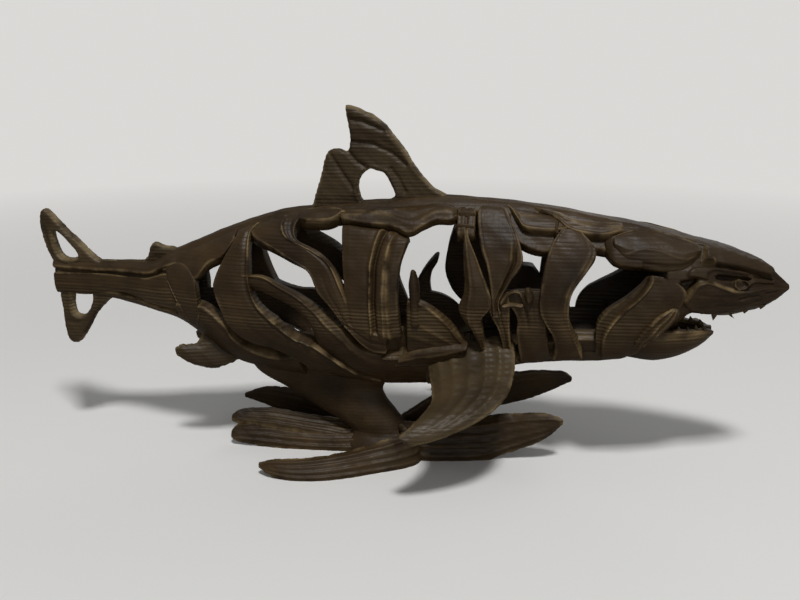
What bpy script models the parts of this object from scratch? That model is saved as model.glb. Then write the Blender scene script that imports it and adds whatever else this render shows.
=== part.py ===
# Shark figurine, one printed piece: open strips over a shark's body, on a stem with leaves.
# Frame: X runs to the snout, Y to the shark's left, Z up. The floor is Z = 0, metres.
# A place on the body is (x, girth): x along the shark in thousandths of body_span / 150,
# girth in degrees round the section, 0 at the right flank (-Y), 90 the back, -90 the belly.

import bpy
import bmesh
import math
import numpy as np

# Driving dimensions, metres
body_span = 0.150            # snout tip to tail, along X
body_width = 0.020           # widest part of the body, across Y
strip_thickness = 0.0026     # a strip of the body, outside to inside
ridge_thickness = 0.0032     # the ridge along the back and the keel along the belly
fin_thickness = 0.0024       # back fins and tail fin, across Y
pectoral_thickness = 0.0021  # the two big side fins, at the root
leaf_thickness = 0.0020      # the leaves of the base
groove_width = 0.0006        # carved lines on the fins
groove_depth = 0.0005
tooth_length = 0.0020
tooth_width = 0.0009
stem_width = 0.0066          # the stem across Y, at its waist
hub_width = 0.0130           # the foot under the stem, across Y
overlap = 0.0010             # how far joined pieces run into each other

# One thousandth of a metre on the shark of 150 mm; every listed place uses it
unit = body_span / 150.0
mm = 0.001


def through(points, at):
    # Smooth curve through (position, value) points that never swings past them
    p = np.array(points, float)
    x, y = p[:, 0], p[:, 1]
    step = np.diff(x)
    slope = np.diff(y) / step
    ends = np.concatenate([slope[:1], slope, slope[-1:]])
    product = ends[:-1] * ends[1:]
    total = ends[:-1] + ends[1:]
    m = np.where(product > 0, 2 * product / np.where(total == 0, 1, total), 0.0)
    at = np.clip(np.asarray(at, float), x[0], x[-1])
    i = np.clip(np.searchsorted(x, at, side="right") - 1, 0, len(x) - 2)
    t = (at - x[i]) / step[i]
    a = (1 + 2 * t) * (1 - t) ** 2
    b = t * (1 - t) ** 2
    c = t * t * (3 - 2 * t)
    d = t * t * (t - 1)
    return a * y[i] + b * step[i] * m[i] + c * y[i + 1] + d * step[i] * m[i + 1]


def smooth_rows(rows, steps):
    # Catmull-Rom curve through rows of values, steps parts to each gap
    rows = np.array(rows, float)
    before = np.vstack([2 * rows[:1] - rows[1:2], rows, 2 * rows[-1:] - rows[-2:-1]])
    out = []
    for i in range(len(rows) - 1):
        p0, p1, p2, p3 = before[i:i + 4]
        for k in range(steps):
            t = k / steps
            out.append(0.5 * (2 * p1 + (p2 - p0) * t + (2 * p0 - 5 * p1 + 4 * p2 - p3) * t * t
                              + (3 * p1 - p0 - 3 * p2 + p3) * t ** 3))
    out.append(rows[-1])
    return np.array(out)


# Body outline: height of the back and of the belly, half width, along x
back_line = [(-76, 38.2), (-58.5, 38.2), (-49.6, 38.3), (-43.9, 40.9), (-36.2, 44.1), (-27.5, 47.6),
             (-19, 50), (-9.8, 51.2), (1.3, 52.4), (13, 53.4), (22.8, 52.8), (32.3, 51.8),
             (41.8, 50.3), (51.2, 48.6), (60.5, 46.2), (65.2, 45), (69.9, 43.3), (73.6, 41.4),
             (77.3, 38.2)]
belly_line = [(-76, 30.4), (-58.8, 30.4), (-50.4, 28.7), (-43.8, 27), (-38.9, 24.2), (-31.6, 18.6),
              (-20, 16), (-10, 15), (0, 14.5), (10, 15), (20, 17.5), (27, 19.8), (34, 21),
              (43, 21.6), (50, 24), (56, 28), (60, 31.5), (65.6, 31.2), (71, 32.4), (74.5, 34),
              (77.3, 37)]
flank_line = [(-76, 1.2), (-62, 1.6), (-55, 2.6), (-45, 5.2), (-35, 7.4), (-25, 8.8), (-10, 9.8),
              (5, 10), (20, 10), (35, 9.7), (50, 9), (60, 7.6), (68, 5.5), (73.6, 3.2),
              (77.3, 0.8)]
width_ratio = body_width / (2 * 10 * mm) * 150 * mm / body_span


def skin(x, girth, lift=0.0):
    # Point of the body surface; lift moves it outwards. Listed thousandths in and out
    x, girth = np.broadcast_arrays(np.asarray(x, float), np.asarray(girth, float))
    a = np.radians(girth)
    high, low = through(back_line, x), through(belly_line, x)
    flank = through(flank_line, x) * width_ratio
    out_y = np.maximum(flank + lift, 0.25)
    out_z = np.maximum((high - low) / 2 + lift, 0.4)
    return np.stack([x, -out_y * np.cos(a), (high + low) / 2 + out_z * np.sin(a)], -1)


tools = bpy.data.collections.new("pieces")
cutters = bpy.data.collections.new("cutters")


def put(name, points, faces, group):
    # One closed mesh, facing out, into the group that the Booleans read
    for old in [o for o in bpy.data.objects if o.name == name]:
        bpy.data.objects.remove(old, do_unlink=True)
    mesh = bpy.data.meshes.new(name)
    mesh.from_pydata([tuple(p) for p in np.asarray(points) * unit], [], faces)
    bm = bmesh.new()
    bm.from_mesh(mesh)
    bmesh.ops.remove_doubles(bm, verts=bm.verts, dist=1e-6)
    bmesh.ops.recalc_face_normals(bm, faces=bm.faces)
    bmesh.ops.triangulate(bm, faces=[f for f in bm.faces if len(f.verts) > 4])
    bm.to_mesh(mesh)
    bm.free()
    thing = bpy.data.objects.new(name, mesh)
    group.objects.link(thing)
    thing.hide_render = True
    thing.display_type = "WIRE"
    return thing


def tube(name, rings, group=tools):
    # Solid skinned over rings of equal count, with flat ends
    rings = np.asarray(rings, float)
    n, k = rings.shape[:2]
    faces = []
    for i in range(n - 1):
        for j in range(k):
            q = (j + 1) % k
            faces.append((i * k + j, i * k + q, (i + 1) * k + q, (i + 1) * k + j))
    faces.append(tuple(range(k)))
    faces.append(tuple((n - 1) * k + j for j in range(k)))
    return put(name, rings.reshape(-1, 3), faces, group)


rounded = ((0, 0), (0.3, 0.35), (0.7, 0.35), (1, 0))
from_ridge = ((0, -1.3), (0.3, 0), (0.75, 0.2), (1, 0))
narrow = ((0, 0), (0.5, 0.4), (1, 0))


def strip(name, stations, lift=0.0, steps=1, relief=rounded, thick=None, side=1, inner=2):
    # Curved plate over the body. Each station is (x, girth) of one edge, then of the other,
    # and may end with a lift of its own; relief lists (part of the way across, extra lift).
    # side -1 puts it on the far flank
    thick = strip_thickness / unit if thick is None else thick / unit
    rows = smooth_rows([tuple(row) + (0,) * (5 - len(row)) for row in stations], steps)
    rings = []
    for xa, ga, xb, gb, own in rows:
        ring = []
        for s, extra in relief:
            ring.append(skin(xa + (xb - xa) * s, ga + (gb - ga) * s, lift + own + extra))
        for s in np.linspace(1, 0, inner):
            ring.append(skin(xa + (xb - xa) * s, ga + (gb - ga) * s, lift + own - thick))
        rings.append(ring)
    rings = np.array(rings)
    rings[:, :, 1] *= side
    return tube(name, rings)


def both(name, stations, far=None, **how):
    # The same strip on both flanks; far gives the far flank its own stations
    strip(name, stations, **how)
    strip(name + "_far", far or stations, side=-1, **how)


def blade(name, stations, thick, crown=0.0, steps=1, side=1, group=tools):
    # Free blade. Each station is one edge point, the other edge point, and its thickness part
    rows = smooth_rows(stations, steps)
    rings = []
    for i, r in enumerate(rows):
        a, b, part = r[:3], r[3:6], r[6]
        nxt, prv = rows[min(i + 1, len(rows) - 1)], rows[max(i - 1, 0)]
        along = (nxt[:3] + nxt[3:6]) - (prv[:3] + prv[3:6])
        up = np.cross(b - a, along)
        up = up / np.linalg.norm(up)
        t = thick / unit * part
        mid = (a + b) / 2
        ring = [a + up * t * 0.2, a * 0.7 + b * 0.3 + up * (t * 0.5 + crown * part),
                a * 0.3 + b * 0.7 + up * (t * 0.5 + crown * part), b + up * t * 0.2,
                b - up * t * 0.2, mid - up * (t * 0.5 - crown * part * 0.4), a - up * t * 0.2]
        rings.append(ring)
    rings = np.array(rings)
    rings[:, :, 1] *= side
    return tube(name, rings, group)


def plate(name, outline, thick, soft=0.45, middle=0.0, group=tools):
    # Flat fin across Y from an outline in X and Z, its rim narrowed by soft
    p = np.array(outline, float)
    ahead, behind = np.roll(p, -1, 0) - p, p - np.roll(p, 1, 0)
    ahead = ahead / np.linalg.norm(ahead, axis=1)[:, None]
    behind = behind / np.linalg.norm(behind, axis=1)[:, None]
    turn = ahead + behind
    area = np.sum(p[:, 0] * np.roll(p[:, 1], -1) - p[:, 1] * np.roll(p[:, 0], -1))
    inward = np.stack([-turn[:, 1], turn[:, 0]], -1) * np.sign(area)
    inward = inward / np.maximum(np.linalg.norm(inward, axis=1)[:, None], 1e-6)
    t = thick / unit / 2
    rings = []
    for y, push in ((-t, soft), (-t * 0.45, 0), (t * 0.45, 0), (t, soft)):
        q = p + inward * push
        rings.append(np.stack([q[:, 0], np.full(len(q), y + middle), q[:, 1]], -1))
    return tube(name, np.array(rings), group)


def line_cut(name, path, width, depth, surface):
    # Groove cutter along (x, z) points on both faces of a fin whose half thickness is surface
    p = smooth_rows(path, 2)
    for side in (-1, 1):
        rings = []
        for i in range(len(p)):
            d = p[min(i + 1, len(p) - 1)] - p[max(i - 1, 0)]
            d = d / np.linalg.norm(d)
            nx, nz = -d[1], d[0]
            w, y = width / unit / 2, surface / unit
            x, z = p[i]
            rings.append([(x + nx * w, side * (y + 1), z + nz * w),
                          (x - nx * w, side * (y + 1), z - nz * w),
                          (x, side * (y - depth / unit), z)])
        tube(name + ("_a" if side < 0 else "_b"), np.array(rings), cutters)


for thing in list(bpy.data.objects):
    bpy.data.objects.remove(thing, do_unlink=True)
for group in (tools, cutters):
    bpy.context.scene.collection.children.link(group)

# Ridge of the back and keel of the belly: the two bands that every strip runs into
strip("ridge", [(-46, 62, -46, 118), (-30, 66, -30, 114), (-14, 68, -14, 112), (2, 68, 2, 112),
                (20, 68, 20, 112), (40, 66, 40, 114), (52, 62, 52, 118), (63, 50, 63, 130)],
      relief=((0, -0.5), (0.25, -0.2), (0.5, 0), (0.75, -0.2), (1, -0.5)), thick=ridge_thickness,
      inner=3)
strip("keel", [(-41, -50, -41, -130), (-33, -58, -33, -122), (-22, -60, -22, -120),
               (0, -62, 0, -118), (20, -58, 20, -122), (34, -56, 34, -124), (46, -54, 46, -126),
               (50, -48, 50, -132)],
      relief=((0, -0.3), (0.25, 0), (0.5, 0.1), (0.75, 0), (1, -0.3)), thick=ridge_thickness,
      inner=3)

# Tail stock, solid, with two strips laid along each side and a wedge under them
angles = np.arange(12) * 30.0
tube("stock", [skin(x, np.arange(8) * 45.0, -0.3) for x in (-70.4, -62, -55, -49, -44, -41)])
both("stock_upper", [(-70.6, 80, -70.6, 32), (-62, 84, -62, 28), (-55, 84, -55, 32),
                     (-46, 84, -45, 38), (-41, 80, -40, 40)], lift=0.35, thick=0.0012,
     relief=((0, -0.5), (0.35, 0.1), (0.75, 0.2), (1, 0)))
both("stock_lower", [(-70.4, 16, -70.4, -46), (-62, 20, -62, -50), (-55, 20, -55, -24),
                     (-46, 26, -45, -38), (-42.6, 16, -41.6, -30)], lift=0.35, thick=0.0012, relief=narrow)
both("stock_wedge", [(-59, -38, -59, -80), (-52, -36, -52, -84), (-46, -50, -45, -86),
                     (-40, -44, -39, -88)], lift=0.2, thick=0.0012, relief=narrow)
both("stock_side", [(-43, 40, -42.4, 8), (-41.6, 40, -40.8, -30), (-39.4, 32, -38.6, -52),
                    (-37.4, 16, -36.8, -22)],
     far=[(-44, 40, -43.4, 8), (-42.6, 40, -42, -30), (-40.6, 32, -40.2, -52),
          (-39.6, 16, -39.2, -22)], lift=0.3, thick=0.0022, relief=narrow)

# Rear flank
both("rear_back", [(-44, 80, -44, 34), (-40, 80, -40, 16), (-37.6, 80, -37.2, 18),
                   (-35, 80, -35, 33), (-33, 80, -33, 38), (-31, 80, -31.2, 42),
                   (-29.4, 80, -29.6, 54)],
     far=[(-44, 80, -44, 34), (-41, 80, -41, 20), (-38.8, 80, -38.8, 24), (-35, 80, -35, 34),
          (-33, 80, -33, 38), (-31, 80, -31.2, 42), (-29.4, 80, -29.6, 54)], relief=from_ridge)
both("rear_rib", [(-30, 80, -24, 80, -1.4), (-29, 56, -25.8, 57), (-31.5, 34, -25.4, 33),
                  (-33.2, 16, -24.9, 13), (-32.2, 0, -23.4, 0), (-30.6, -18, -20.6, -13),
                  (-27, -34, -16.8, -25), (-21, -46, -11, -37), (-13, -62, -5, -54),
                  (-7, -78, 0, -72, -0.6)],
     far=[(-30, 80, -24, 80, -1.4), (-29, 56, -26.6, 57), (-31.5, 34, -26.8, 30),
          (-33.2, 16, -26, 14), (-32.6, 0, -24.4, 0), (-30.6, -18, -21.4, -13),
          (-27, -34, -16.8, -25), (-21, -46, -11, -37), (-13, -62, -5, -54),
          (-7, -78, 0, -72, -0.6)], lift=0.5)
both("rear_belly", [(-42, -20, -42, -82), (-38, -12, -38, -86), (-35.2, -9, -36, -88),
                    (-32, -24, -32, -90), (-28.6, -41, -29, -92), (-23, -50, -23, -92),
                    (-14, -56, -14, -92)], lift=0.2, relief=narrow)
both("cross_rib", [(-28, 27, -27, 16), (-23.4, 20, -22.8, 8), (-19, 11, -18.2, -3),
                   (-15, 4, -13.6, -14), (-11.8, -4, -10.4, -24), (-8, -14, -6.2, -35),
                   (-3.4, -27, -1, -49), (1, -44, 5, -66)],
     far=[(-28, 14, -27, 3), (-24.3, 1, -23.8, -10), (-20, -6, -19.2, -19),
          (-16.3, -8, -15, -24), (-12.6, -14, -11.2, -32), (-8, -22, -6.2, -42),
          (-3.4, -32, -1, -53), (1, -46, 5, -68)], lift=-0.1,
     relief=((0, 0.5), (0.25, 0.5), (0.7, 0.1), (1, -0.4)))

# Shoulder: broad at the back, narrowing down and forwards under the main band
both("shoulder", [(-27, 82, -14.6, 82, -1.3), (-26.6, 66, -15.6, 70), (-25, 51, -16.6, 56),
                  (-22.2, 42, -15.8, 44), (-17.6, 30, -11, 34), (-13.4, 21, -8.2, 24),
                  (-11.6, 8, -6.4, 8), (-9.6, -6, -4.6, -6), (-6.4, -19, -2, -20),
                  (-3, -33, 1, -34), (0, -52, 5, -52)],
     far=[(-27, 82, -16.4, 82, -1.3), (-26.6, 66, -17, 70), (-25, 51, -17, 56),
          (-22.2, 40, -16.8, 45), (-19, 28, -13.8, 37), (-15.4, 19, -10.6, 27),
          (-12.6, 8, -7.4, 10), (-9.8, -6, -4.8, -6), (-6.4, -19, -2, -20),
          (-3, -33, 1, -34), (0, -52, 5, -52)], lift=0.3,
     relief=((0, 0.1), (0.3, 0.3), (0.8, 0.4), (1, 0.7)))
both("round_end", [(-20, 82, -20, 70), (-14, 78, -14, 57), (-10.4, 77, -10.4, 56),
                   (-8.4, 74, -8.4, 59), (-7.5, 69, -7.5, 64)], lift=0.9, relief=from_ridge)
both("saddle", [(-8.6, 84, -7.2, 58), (-2.6, 84, -2.6, 53), (2, 84, 2, 50), (5.2, 84, 6, 43.5),
                (8.6, 84, 8.8, 48), (11, 84, 11, 52), (15.4, 84, 15.2, 54)], lift=0.7,
     relief=((0, -1.4), (0.35, 0.1), (0.8, 0.2), (1, 0)))

# Main band, with two lengthwise ridges
both("main_band", [(-7.4, 66, 6.4, 62), (-7.2, 50, 5.7, 42), (-6.7, 32, 4.6, 26), (-6.2, 14, 4.3, 14),
                   (-5.9, 0, 4.2, 2), (-5.4, -11, 4.6, -12), (-4.2, -24, 5.2, -24),
                   (-1.6, -40, 6.4, -38), (2, -60, 9, -58), (4, -74, 11, -74, -0.6)],
     far=[(-7.4, 66, 5, 62), (-7.2, 50, 3.8, 42), (-6.7, 32, 2.8, 28), (-6.2, 14, 1.6, 13),
          (-5.9, 0, 2, 2), (-5.4, -11, 3.6, -11), (-4.2, -24, 5.2, -24),
          (-1.6, -40, 6.4, -38), (2, -60, 9, -58), (4, -74, 11, -74, -0.6)], lift=0.3,
     relief=((0, 0), (0.2, 0.5), (0.44, 0.6), (0.5, 1.1), (0.56, 0.1), (0.66, 0.9), (0.84, 0.8),
             (1, -0.2)))
both("lower_plate", [(6.2, 3, 6.2, -60), (8.6, 1, 8.6, -64), (11, -4, 11, -66),
                     (13.8, -13, 13.8, -66), (15.6, -22, 15.6, -66), (17.2, -30, 17.2, -66)],
     far=[(5.4, -4, 5.4, -60), (8.4, -6.5, 8.4, -64), (11, -9, 11, -66),
          (13.4, -14, 13.4, -66), (15.6, -22, 15.6, -66), (17.2, -30, 17.2, -66)], lift=-0.2,
     relief=narrow)
both("leaf_ledge", [(4.4, -34, 4.4, -37), (7, -30, 7, -38), (11, -27.5, 11, -38), (14.5, -27.5, 14.5, -35),
                    (17.4, -28.5, 17.4, -31)], lift=1.1, thick=0.0036,
     relief=((0, -0.8), (0.5, 0.1), (1, 0)))
both("finger", [(6.2, 18, 7.6, 19), (6.3, 12, 8.2, 13), (6.5, 3, 8.4, 3), (6.6, -12, 8.8, -12)],
     far=[(8.5, 15, 9.8, 17), (7.2, 9, 9.0, 10), (5.6, 2, 7.6, 0), (5.6, -12, 8, -12)], lift=0.2,
     relief=narrow)

# Block and narrow rib in front of the big opening
both("block", [(14.4, 80, 18.6, 80, -1.2), (14.4, 62, 18.6, 62), (14.6, 42, 18.6, 42)], lift=-0.3,
     relief=narrow)
both("narrow_rib", [(15.4, 56, 18, 56), (16.4, 43, 17.6, 43), (16.3, 26, 19.0, 25),
                    (16.0, 10, 20.8, 12), (15.8, -4, 22.4, 0), (16.6, -14, 21.4, -14),
                    (18.2, -26, 22.0, -28), (20.4, -44, 23.6, -46), (21, -64, 26, -64)],
     far=[(14, 56, 18, 56), (13.4, 43, 17.6, 43), (12.2, 26, 18.0, 25), (11.6, 10, 19.6, 12),
          (12.8, -4, 22.0, 0), (14.6, -14, 21.4, -14), (17.6, -26, 22.0, -28),
          (20.4, -44, 23.6, -46), (21, -64, 26, -64)],
     lift=0.1, relief=((0, 0.2), (0.35, 0.6), (0.6, 0), (1, 0.1)))
both("rib_plate", [(19.6, 86, 22.6, 86, -2.3), (19.6, 72, 23.8, 71), (19.0, 51, 25.4, 53),
                   (19.8, 32, 27.2, 33), (20.6, 20, 27.4, 22), (21.3, 10, 25.6, 11),
                   (21.9, 0, 23.6, -1), (22.2, -14, 24.6, -14)],
     far=[(19.6, 86, 21.6, 86, -2.3), (19.6, 72, 22.4, 71), (19.0, 51, 23.4, 53),
          (19.8, 32, 24.8, 33), (20.6, 20, 26, 20), (21.3, 10, 26.6, 8),
          (21.9, 0, 25.6, -3), (22.2, -14, 24.6, -14)], lift=0.8,
     relief=((0, -0.1), (0.15, 0.2), (0.68, 0.3), (0.76, -0.4), (0.85, 0.3), (1, 0)))

# Overlapping plates of the front back
both("under_back", [(24.6, 82, 25.2, 48), (27, 82, 27.4, 38), (30.6, 82, 30.6, 33.5), (34, 82, 34, 36),
                    (38, 82, 38, 42), (43, 82, 43, 42), (47, 82, 47, 42)], lift=-0.9, relief=narrow)
both("back_plate", [(24.2, 84, 24.4, 78), (25.6, 84, 26, 62), (27.8, 84, 28.2, 51.5),
                    (33, 84, 33.2, 49), (36, 84, 36.4, 56)], lift=0.6, relief=from_ridge)
both("second_plate", [(29.4, 84, 29.6, 76), (33.4, 84, 33.6, 60), (36.4, 84, 36.4, 51.5),
                      (41.4, 84, 41.8, 50.5), (45.6, 84, 45.6, 58)], lift=0.95,
     relief=((0, -2.2), (0.35, -0.1), (0.75, 0.2), (1, 0)))
both("knot", [(33.8, 57, 36.2, 57), (34, 50, 36, 50), (34.4, 43, 36, 43)], lift=0.9, relief=narrow)

# Front rib and the lower front with its upright slits
both("front_rib", [(34.6, 52, 38.6, 50), (32.8, 38, 41.0, 37), (31.7, 22, 39.6, 22),
                   (31.1, 5, 37, 5), (31.1, -8, 36.5, -8), (31.2, -20, 36.9, -20),
                   (31.4, -36, 38.2, -34), (31.6, -52, 40, -47), (31, -68, 41, -68)], lift=0.8)
both("slit_strip", [(21.6, 2, 25.6, 4), (21.6, -12, 25.6, -13), (23.2, -28, 26.4, -28),
                    (25.2, -44, 27.4, -46), (25.6, -66, 28, -66)], lift=0.1,
     relief=narrow)
both("slit_plate", [(23.4, 4, 32.4, 4), (26.8, -12, 32.4, -12), (27.6, -28, 32.6, -28),
                    (28.4, -45, 33.4, -46), (28, -68, 34, -68)],
     far=[(23.4, 8, 29.6, 8), (24.8, -8, 32.4, -8), (27.6, -28, 32.6, -28),
          (28.4, -45, 33.4, -46), (28, -68, 34, -68)], lift=-0.1, relief=narrow)
both("blob", [(23.8, 5, 24.2, -2), (26.2, 5, 26.6, -8), (28.6, 4, 28.8, -9), (30.4, 1, 30.4, -7)],
     lift=0.7, relief=narrow)

# Cheek, gill strip and its overlapping fillet
both("cheek", [(43.6, 60, 43.8, 40), (46, 70, 46, 30), (49, 74, 49, 22), (53, 76, 53, 18),
               (56.4, 74, 56.4, 20), (58.6, 70, 58.6, 30), (60.4, 62, 60.4, 44)], lift=0.5,
     relief=((0, -0.7), (0.25, 0.2), (0.75, 0.3), (1, -0.5)))
both("gill_strip", [(50.4, 24, 55.6, 24), (49.4, 12, 57.2, 6), (46.6, 0, 57.4, -12),
                    (43.6, -12, 54.4, -28), (41.6, -26, 50.6, -44), (42, -46, 48, -58),
                    (43.6, -68, 48, -74)],
     far=[(49.4, 24, 55.6, 24), (47.6, 11, 57.2, 6), (43.6, -2, 57.4, -12),
          (41.6, -13, 54.4, -28), (40.4, -27, 50.6, -44), (41, -46, 48, -58),
          (43.6, -68, 48, -74)], lift=0.9, thick=0.0034)
both("fillet", [(54.4, -14, 56.6, -16), (52.4, -26, 55, -29), (50.2, -37, 52.6, -40),
                (48, -48, 50, -50)], lift=1.3, relief=narrow)

# Head: solid upper head, brow, lip plate, then the hollow lower jaw
tube("head", [skin(x, angles, -0.6) for x in (57, 60, 64, 68, 71.5, 74.3, 76.4, 77.3)])
both("brow", [(58, 84, 59, 50), (62, 86, 63, 42), (66, 86, 67, 46), (70, 86, 70.4, 50),
              (74, 86, 73.8, 44)], lift=0.4, thick=0.0022,
     relief=((0, -0.8), (0.5, 0.1), (1, 0)))
both("lip", [(57.6, -6, 57.4, -44), (59.2, 8, 59, -62), (61.4, 13, 61.4, -70), (66, 2, 66, -72),
             (69.4, 12, 69.4, -70), (72.6, 16, 72.6, -64), (77.0, 12, 77.0, -50)], lift=0.45,
     thick=0.0022)
jaw_line = [(45, 23.4, 32.5, 7.2), (49.5, 22.6, 31.6, 7.6), (54, 22.3, 30.2, 7.0),
            (58.6, 23.7, 29.6, 5.8), (62.2, 25.8, 29.4, 3.8), (64.0, 27.4, 28.9, 1.8)]
jaw, mouth = [], []
for x, low, high, half in smooth_rows(jaw_line, 1):
    turn = np.radians(angles)
    half = half * width_ratio
    jaw.append(np.stack([np.full(12, x), half * np.cos(turn),
                         (high + low) / 2 + (high - low) / 2 * np.clip(np.sin(turn) * 1.25, -1, 1)], -1))
for x, low, high, half in smooth_rows(jaw_line, 1)[:-1]:
    half = max(half * width_ratio - 1.7, 0.5)
    mouth.append([(x - 1.2, -half, high + 3), (x - 1.2, half, high + 3),
                  (x - 1.2, half * 0.7, low + 3), (x - 1.2, -half * 0.7, low + 3)])
tube("jaw", jaw)
tube("mouth", mouth, cutters)


def tooth(name, x, y, z, down, size=1.0):
    # Four-sided spike, rooted by the overlap
    w = tooth_width / unit / 2 * size
    top = z - down * overlap / unit
    tip = z + down * tooth_length / unit * size
    points = [(x - w, y - w, top), (x + w, y - w, top), (x + w, y + w, top), (x - w, y + w, top),
              (x + w * 0.3, y, tip)]
    put(name, points, [(0, 1, 2, 3), (0, 1, 4), (1, 2, 4), (2, 3, 4), (3, 0, 4)], tools)


for i, (x, size) in enumerate([(61.4, 0.7), (63.9, 1.0), (66.6, 0.8), (69.2, 0.8), (71.8, 1.0),
                               (74.0, 0.7)]):
    for side in (-1, 1):
        place = skin(x, -64, -0.3)
        tooth(f"upper_tooth_{i}_{side + 1}", x, side * place[1] * -1, place[2], -1, size)
for i, (x, half, z) in enumerate([(56.4, 5.6, 29.8), (58.8, 4.9, 29.4), (61.0, 3.8, 29.3),
                                  (62.9, 2.2, 29)]):
    for side in (-1, 1):
        tooth(f"lower_tooth_{i}_{side + 1}", x, side * half * width_ratio, z - 0.2, 1, 0.8)

# Eye recess, the slot above it and the curl at the nostril
for side in (-1, 1):
    near = "a" if side < 0 else "b"
    slot = []
    for x, g in ((61.8, 40), (64, 37), (67, 36.5), (70.4, 40)):
        ring = [skin(x, g + 4, 1.6), skin(x, g - 4, 1.6), skin(x, g - 1.5, -1.0)]
        slot.append(ring)
    slot = np.array(slot)
    slot[:, :, 1] *= -side
    tube("slot_" + near, slot, cutters)
    eye = []
    for x, wide in ((62.3, 2), (63.4, 7), (65.2, 7), (66.4, 2)):
        ring = [skin(x, 20 + wide, 1.6), skin(x, 20 - wide, 1.6), skin(x, 20 - wide * 0.7, -1.4),
                skin(x, 20 + wide * 0.7, -1.4)]
        eye.append(ring)
    eye = np.array(eye)
    eye[:, :, 1] *= -side
    tube("eye_" + near, eye, cutters)

# Back fin in two blades round an opening, second back fin, tail fin with two openings
plate("back_fin", [(-7.4, 69.8), (-6.8, 70.6), (-3.5, 69.6), (-0.4, 67.8), (1.9, 65.5), (4.4, 62.2),
                   (6.2, 59.4), (9.4, 55.6), (13.4, 53.0), (12.5, 49.6), (-14.8, 48.2),
                   (-14.2, 51.6), (-12.3, 57.6), (-11.0, 61.5), (-8.8, 62.3), (-6.9, 61.9),
                   (-6.6, 65)], fin_thickness)
plate("back_fin_hole", [(-4.9, 55.2), (-4.1, 57.3), (-2.6, 58.4), (-1.2, 58.1), (0.3, 57.5),
                        (1.4, 55.6), (2.2, 53.0), (-3.9, 52.2)], 0.012, soft=0, group=cutters)
line_cut("fin_line_1", [(-7.6, 68.2), (-4, 67.6), (0.2, 65.9)], groove_width, groove_depth,
         fin_thickness / 2)
line_cut("fin_line_2", [(-7.0, 63.8), (-2, 63.3), (1.6, 61.8), (4.6, 59.4)], groove_width,
         groove_depth, fin_thickness / 2)
line_cut("fin_line_3", [(-10.4, 61.3), (-8.2, 57.9), (-6.0, 54.6)], groove_width, groove_depth,
         fin_thickness / 2)
line_cut("fin_line_4", [(-6.8, 61.8), (-5.2, 59.9), (-2.6, 58.4)], groove_width, groove_depth,
         fin_thickness / 2)
plate("second_back_fin", [(-51, 38), (-49.9, 39.2), (-49.2, 41.6), (-47.9, 42.5), (-46.2, 42.0),
                          (-43.4, 41.2), (-42, 39.0)], fin_thickness * 0.8)
plate("tail_upper", [(-57, 38.0), (-60.6, 38.2), (-66, 43.4), (-70.9, 48.4), (-72.1, 48.9),
                     (-73.2, 47.8), (-73.2, 44.4), (-72.3, 40.6), (-70.6, 36.9), (-69.4, 35.4),
                     (-66, 34.8), (-57, 34.6)], fin_thickness)
plate("tail_lower", [(-57, 35.4), (-69, 36.0), (-70.6, 35.6), (-70.4, 32), (-70.0, 27), (-69.9, 23.2),
                     (-69.2, 20.6), (-67.9, 19.6), (-66.4, 20.4), (-64.2, 23.4), (-62.2, 26.7),
                     (-58.4, 30.4), (-56, 31.4)], fin_thickness)
plate("tail_hole_upper", [(-70.3, 43.8), (-69.0, 43.6), (-66.7, 41.3), (-65.4, 39.4), (-65.8, 38.7),
                          (-68.4, 38.7), (-69.7, 40.4)], 0.012, soft=0, group=cutters)
plate("tail_hole_lower", [(-67.4, 29), (-66.9, 31.2), (-65.6, 32.0), (-63.6, 31.9), (-62.8, 30.9),
                          (-63.3, 28.6), (-65.0, 26.2), (-67.0, 26.4)], 0.012, soft=0, group=cutters)

# Pelvic fins under the rear belly
for side in (1, -1):
    blade("pelvic" + ("" if side > 0 else "_far"),
          [(-36.4, -2.4, 26, -30, -2.4, 18.6, 1), (-38.4, -4.4, 22.8, -34.4, -4.4, 17.0, 1),
           (-40.3, -5.4, 21.9, -38.2, -5.4, 17.9, 0.9), (-42.2, -6, 21.5, -42.0, -6, 20.5, 0.6)],
          fin_thickness, side=side)

# Pectoral fins, swept out, down and back
for side in (1, -1):
    blade("pectoral" + ("" if side > 0 else "_far"),
          [(26, -5.5, 27, 9.4, -5.5, 23, 1), (26.9, -9, 23.6, 10.2, -9, 20.4, 1),
           (26.5, -14, 20.4, 11.4, -14, 18.8, 0.95), (25.0, -18, 18.4, 11.8, -18, 17.4, 0.9),
           (21.2, -22, 16.2, 10.6, -22, 16.6, 0.8), (15.2, -25, 13.8, 8.9, -25, 15.4, 0.7),
           (9.6, -26.8, 12.5, 6.9, -26.8, 14.0, 0.5)], pectoral_thickness, crown=0.3, side=side)
    # Shoulder of the fin on the lower flank
    strip("fin_root" + ("" if side > 0 else "_far"),
          [(9.6, -44, 9.6, -70), (14, -40, 14, -72), (20, -36, 20, -72), (26.6, -36, 26.6, -70)],
          lift=0.4, side=side)

# Stem: wide under the belly, narrow at the foot
stem_line = [(0, 0, 8.6, 1.0), (1.2, 0, 8.4, 1.0), (3.0, -0.4, 7.2, 0.62), (4.6, -1.4, 6.7, 0.52),
             (8, -5.6, 8.3, 0.5), (12.4, -10.8, 10.6, 0.5), (15.2, -12.7, 13.8, 0.56),
             (18.6, -12.5, 17.0, 0.62)]
stem = []
for i, (z, x, half, part) in enumerate(stem_line):
    turn = np.radians(angles)
    half_y = (hub_width if i < 2 else stem_width) / unit / 2 * (1.0 if i < 2 else part / 0.5)
    stem.append(np.stack([x + half * np.cos(turn), half_y * np.sin(turn), np.full(12, float(z))], -1))
stem[0][:, 2] = -1.0
tube("stem", stem)

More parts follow.
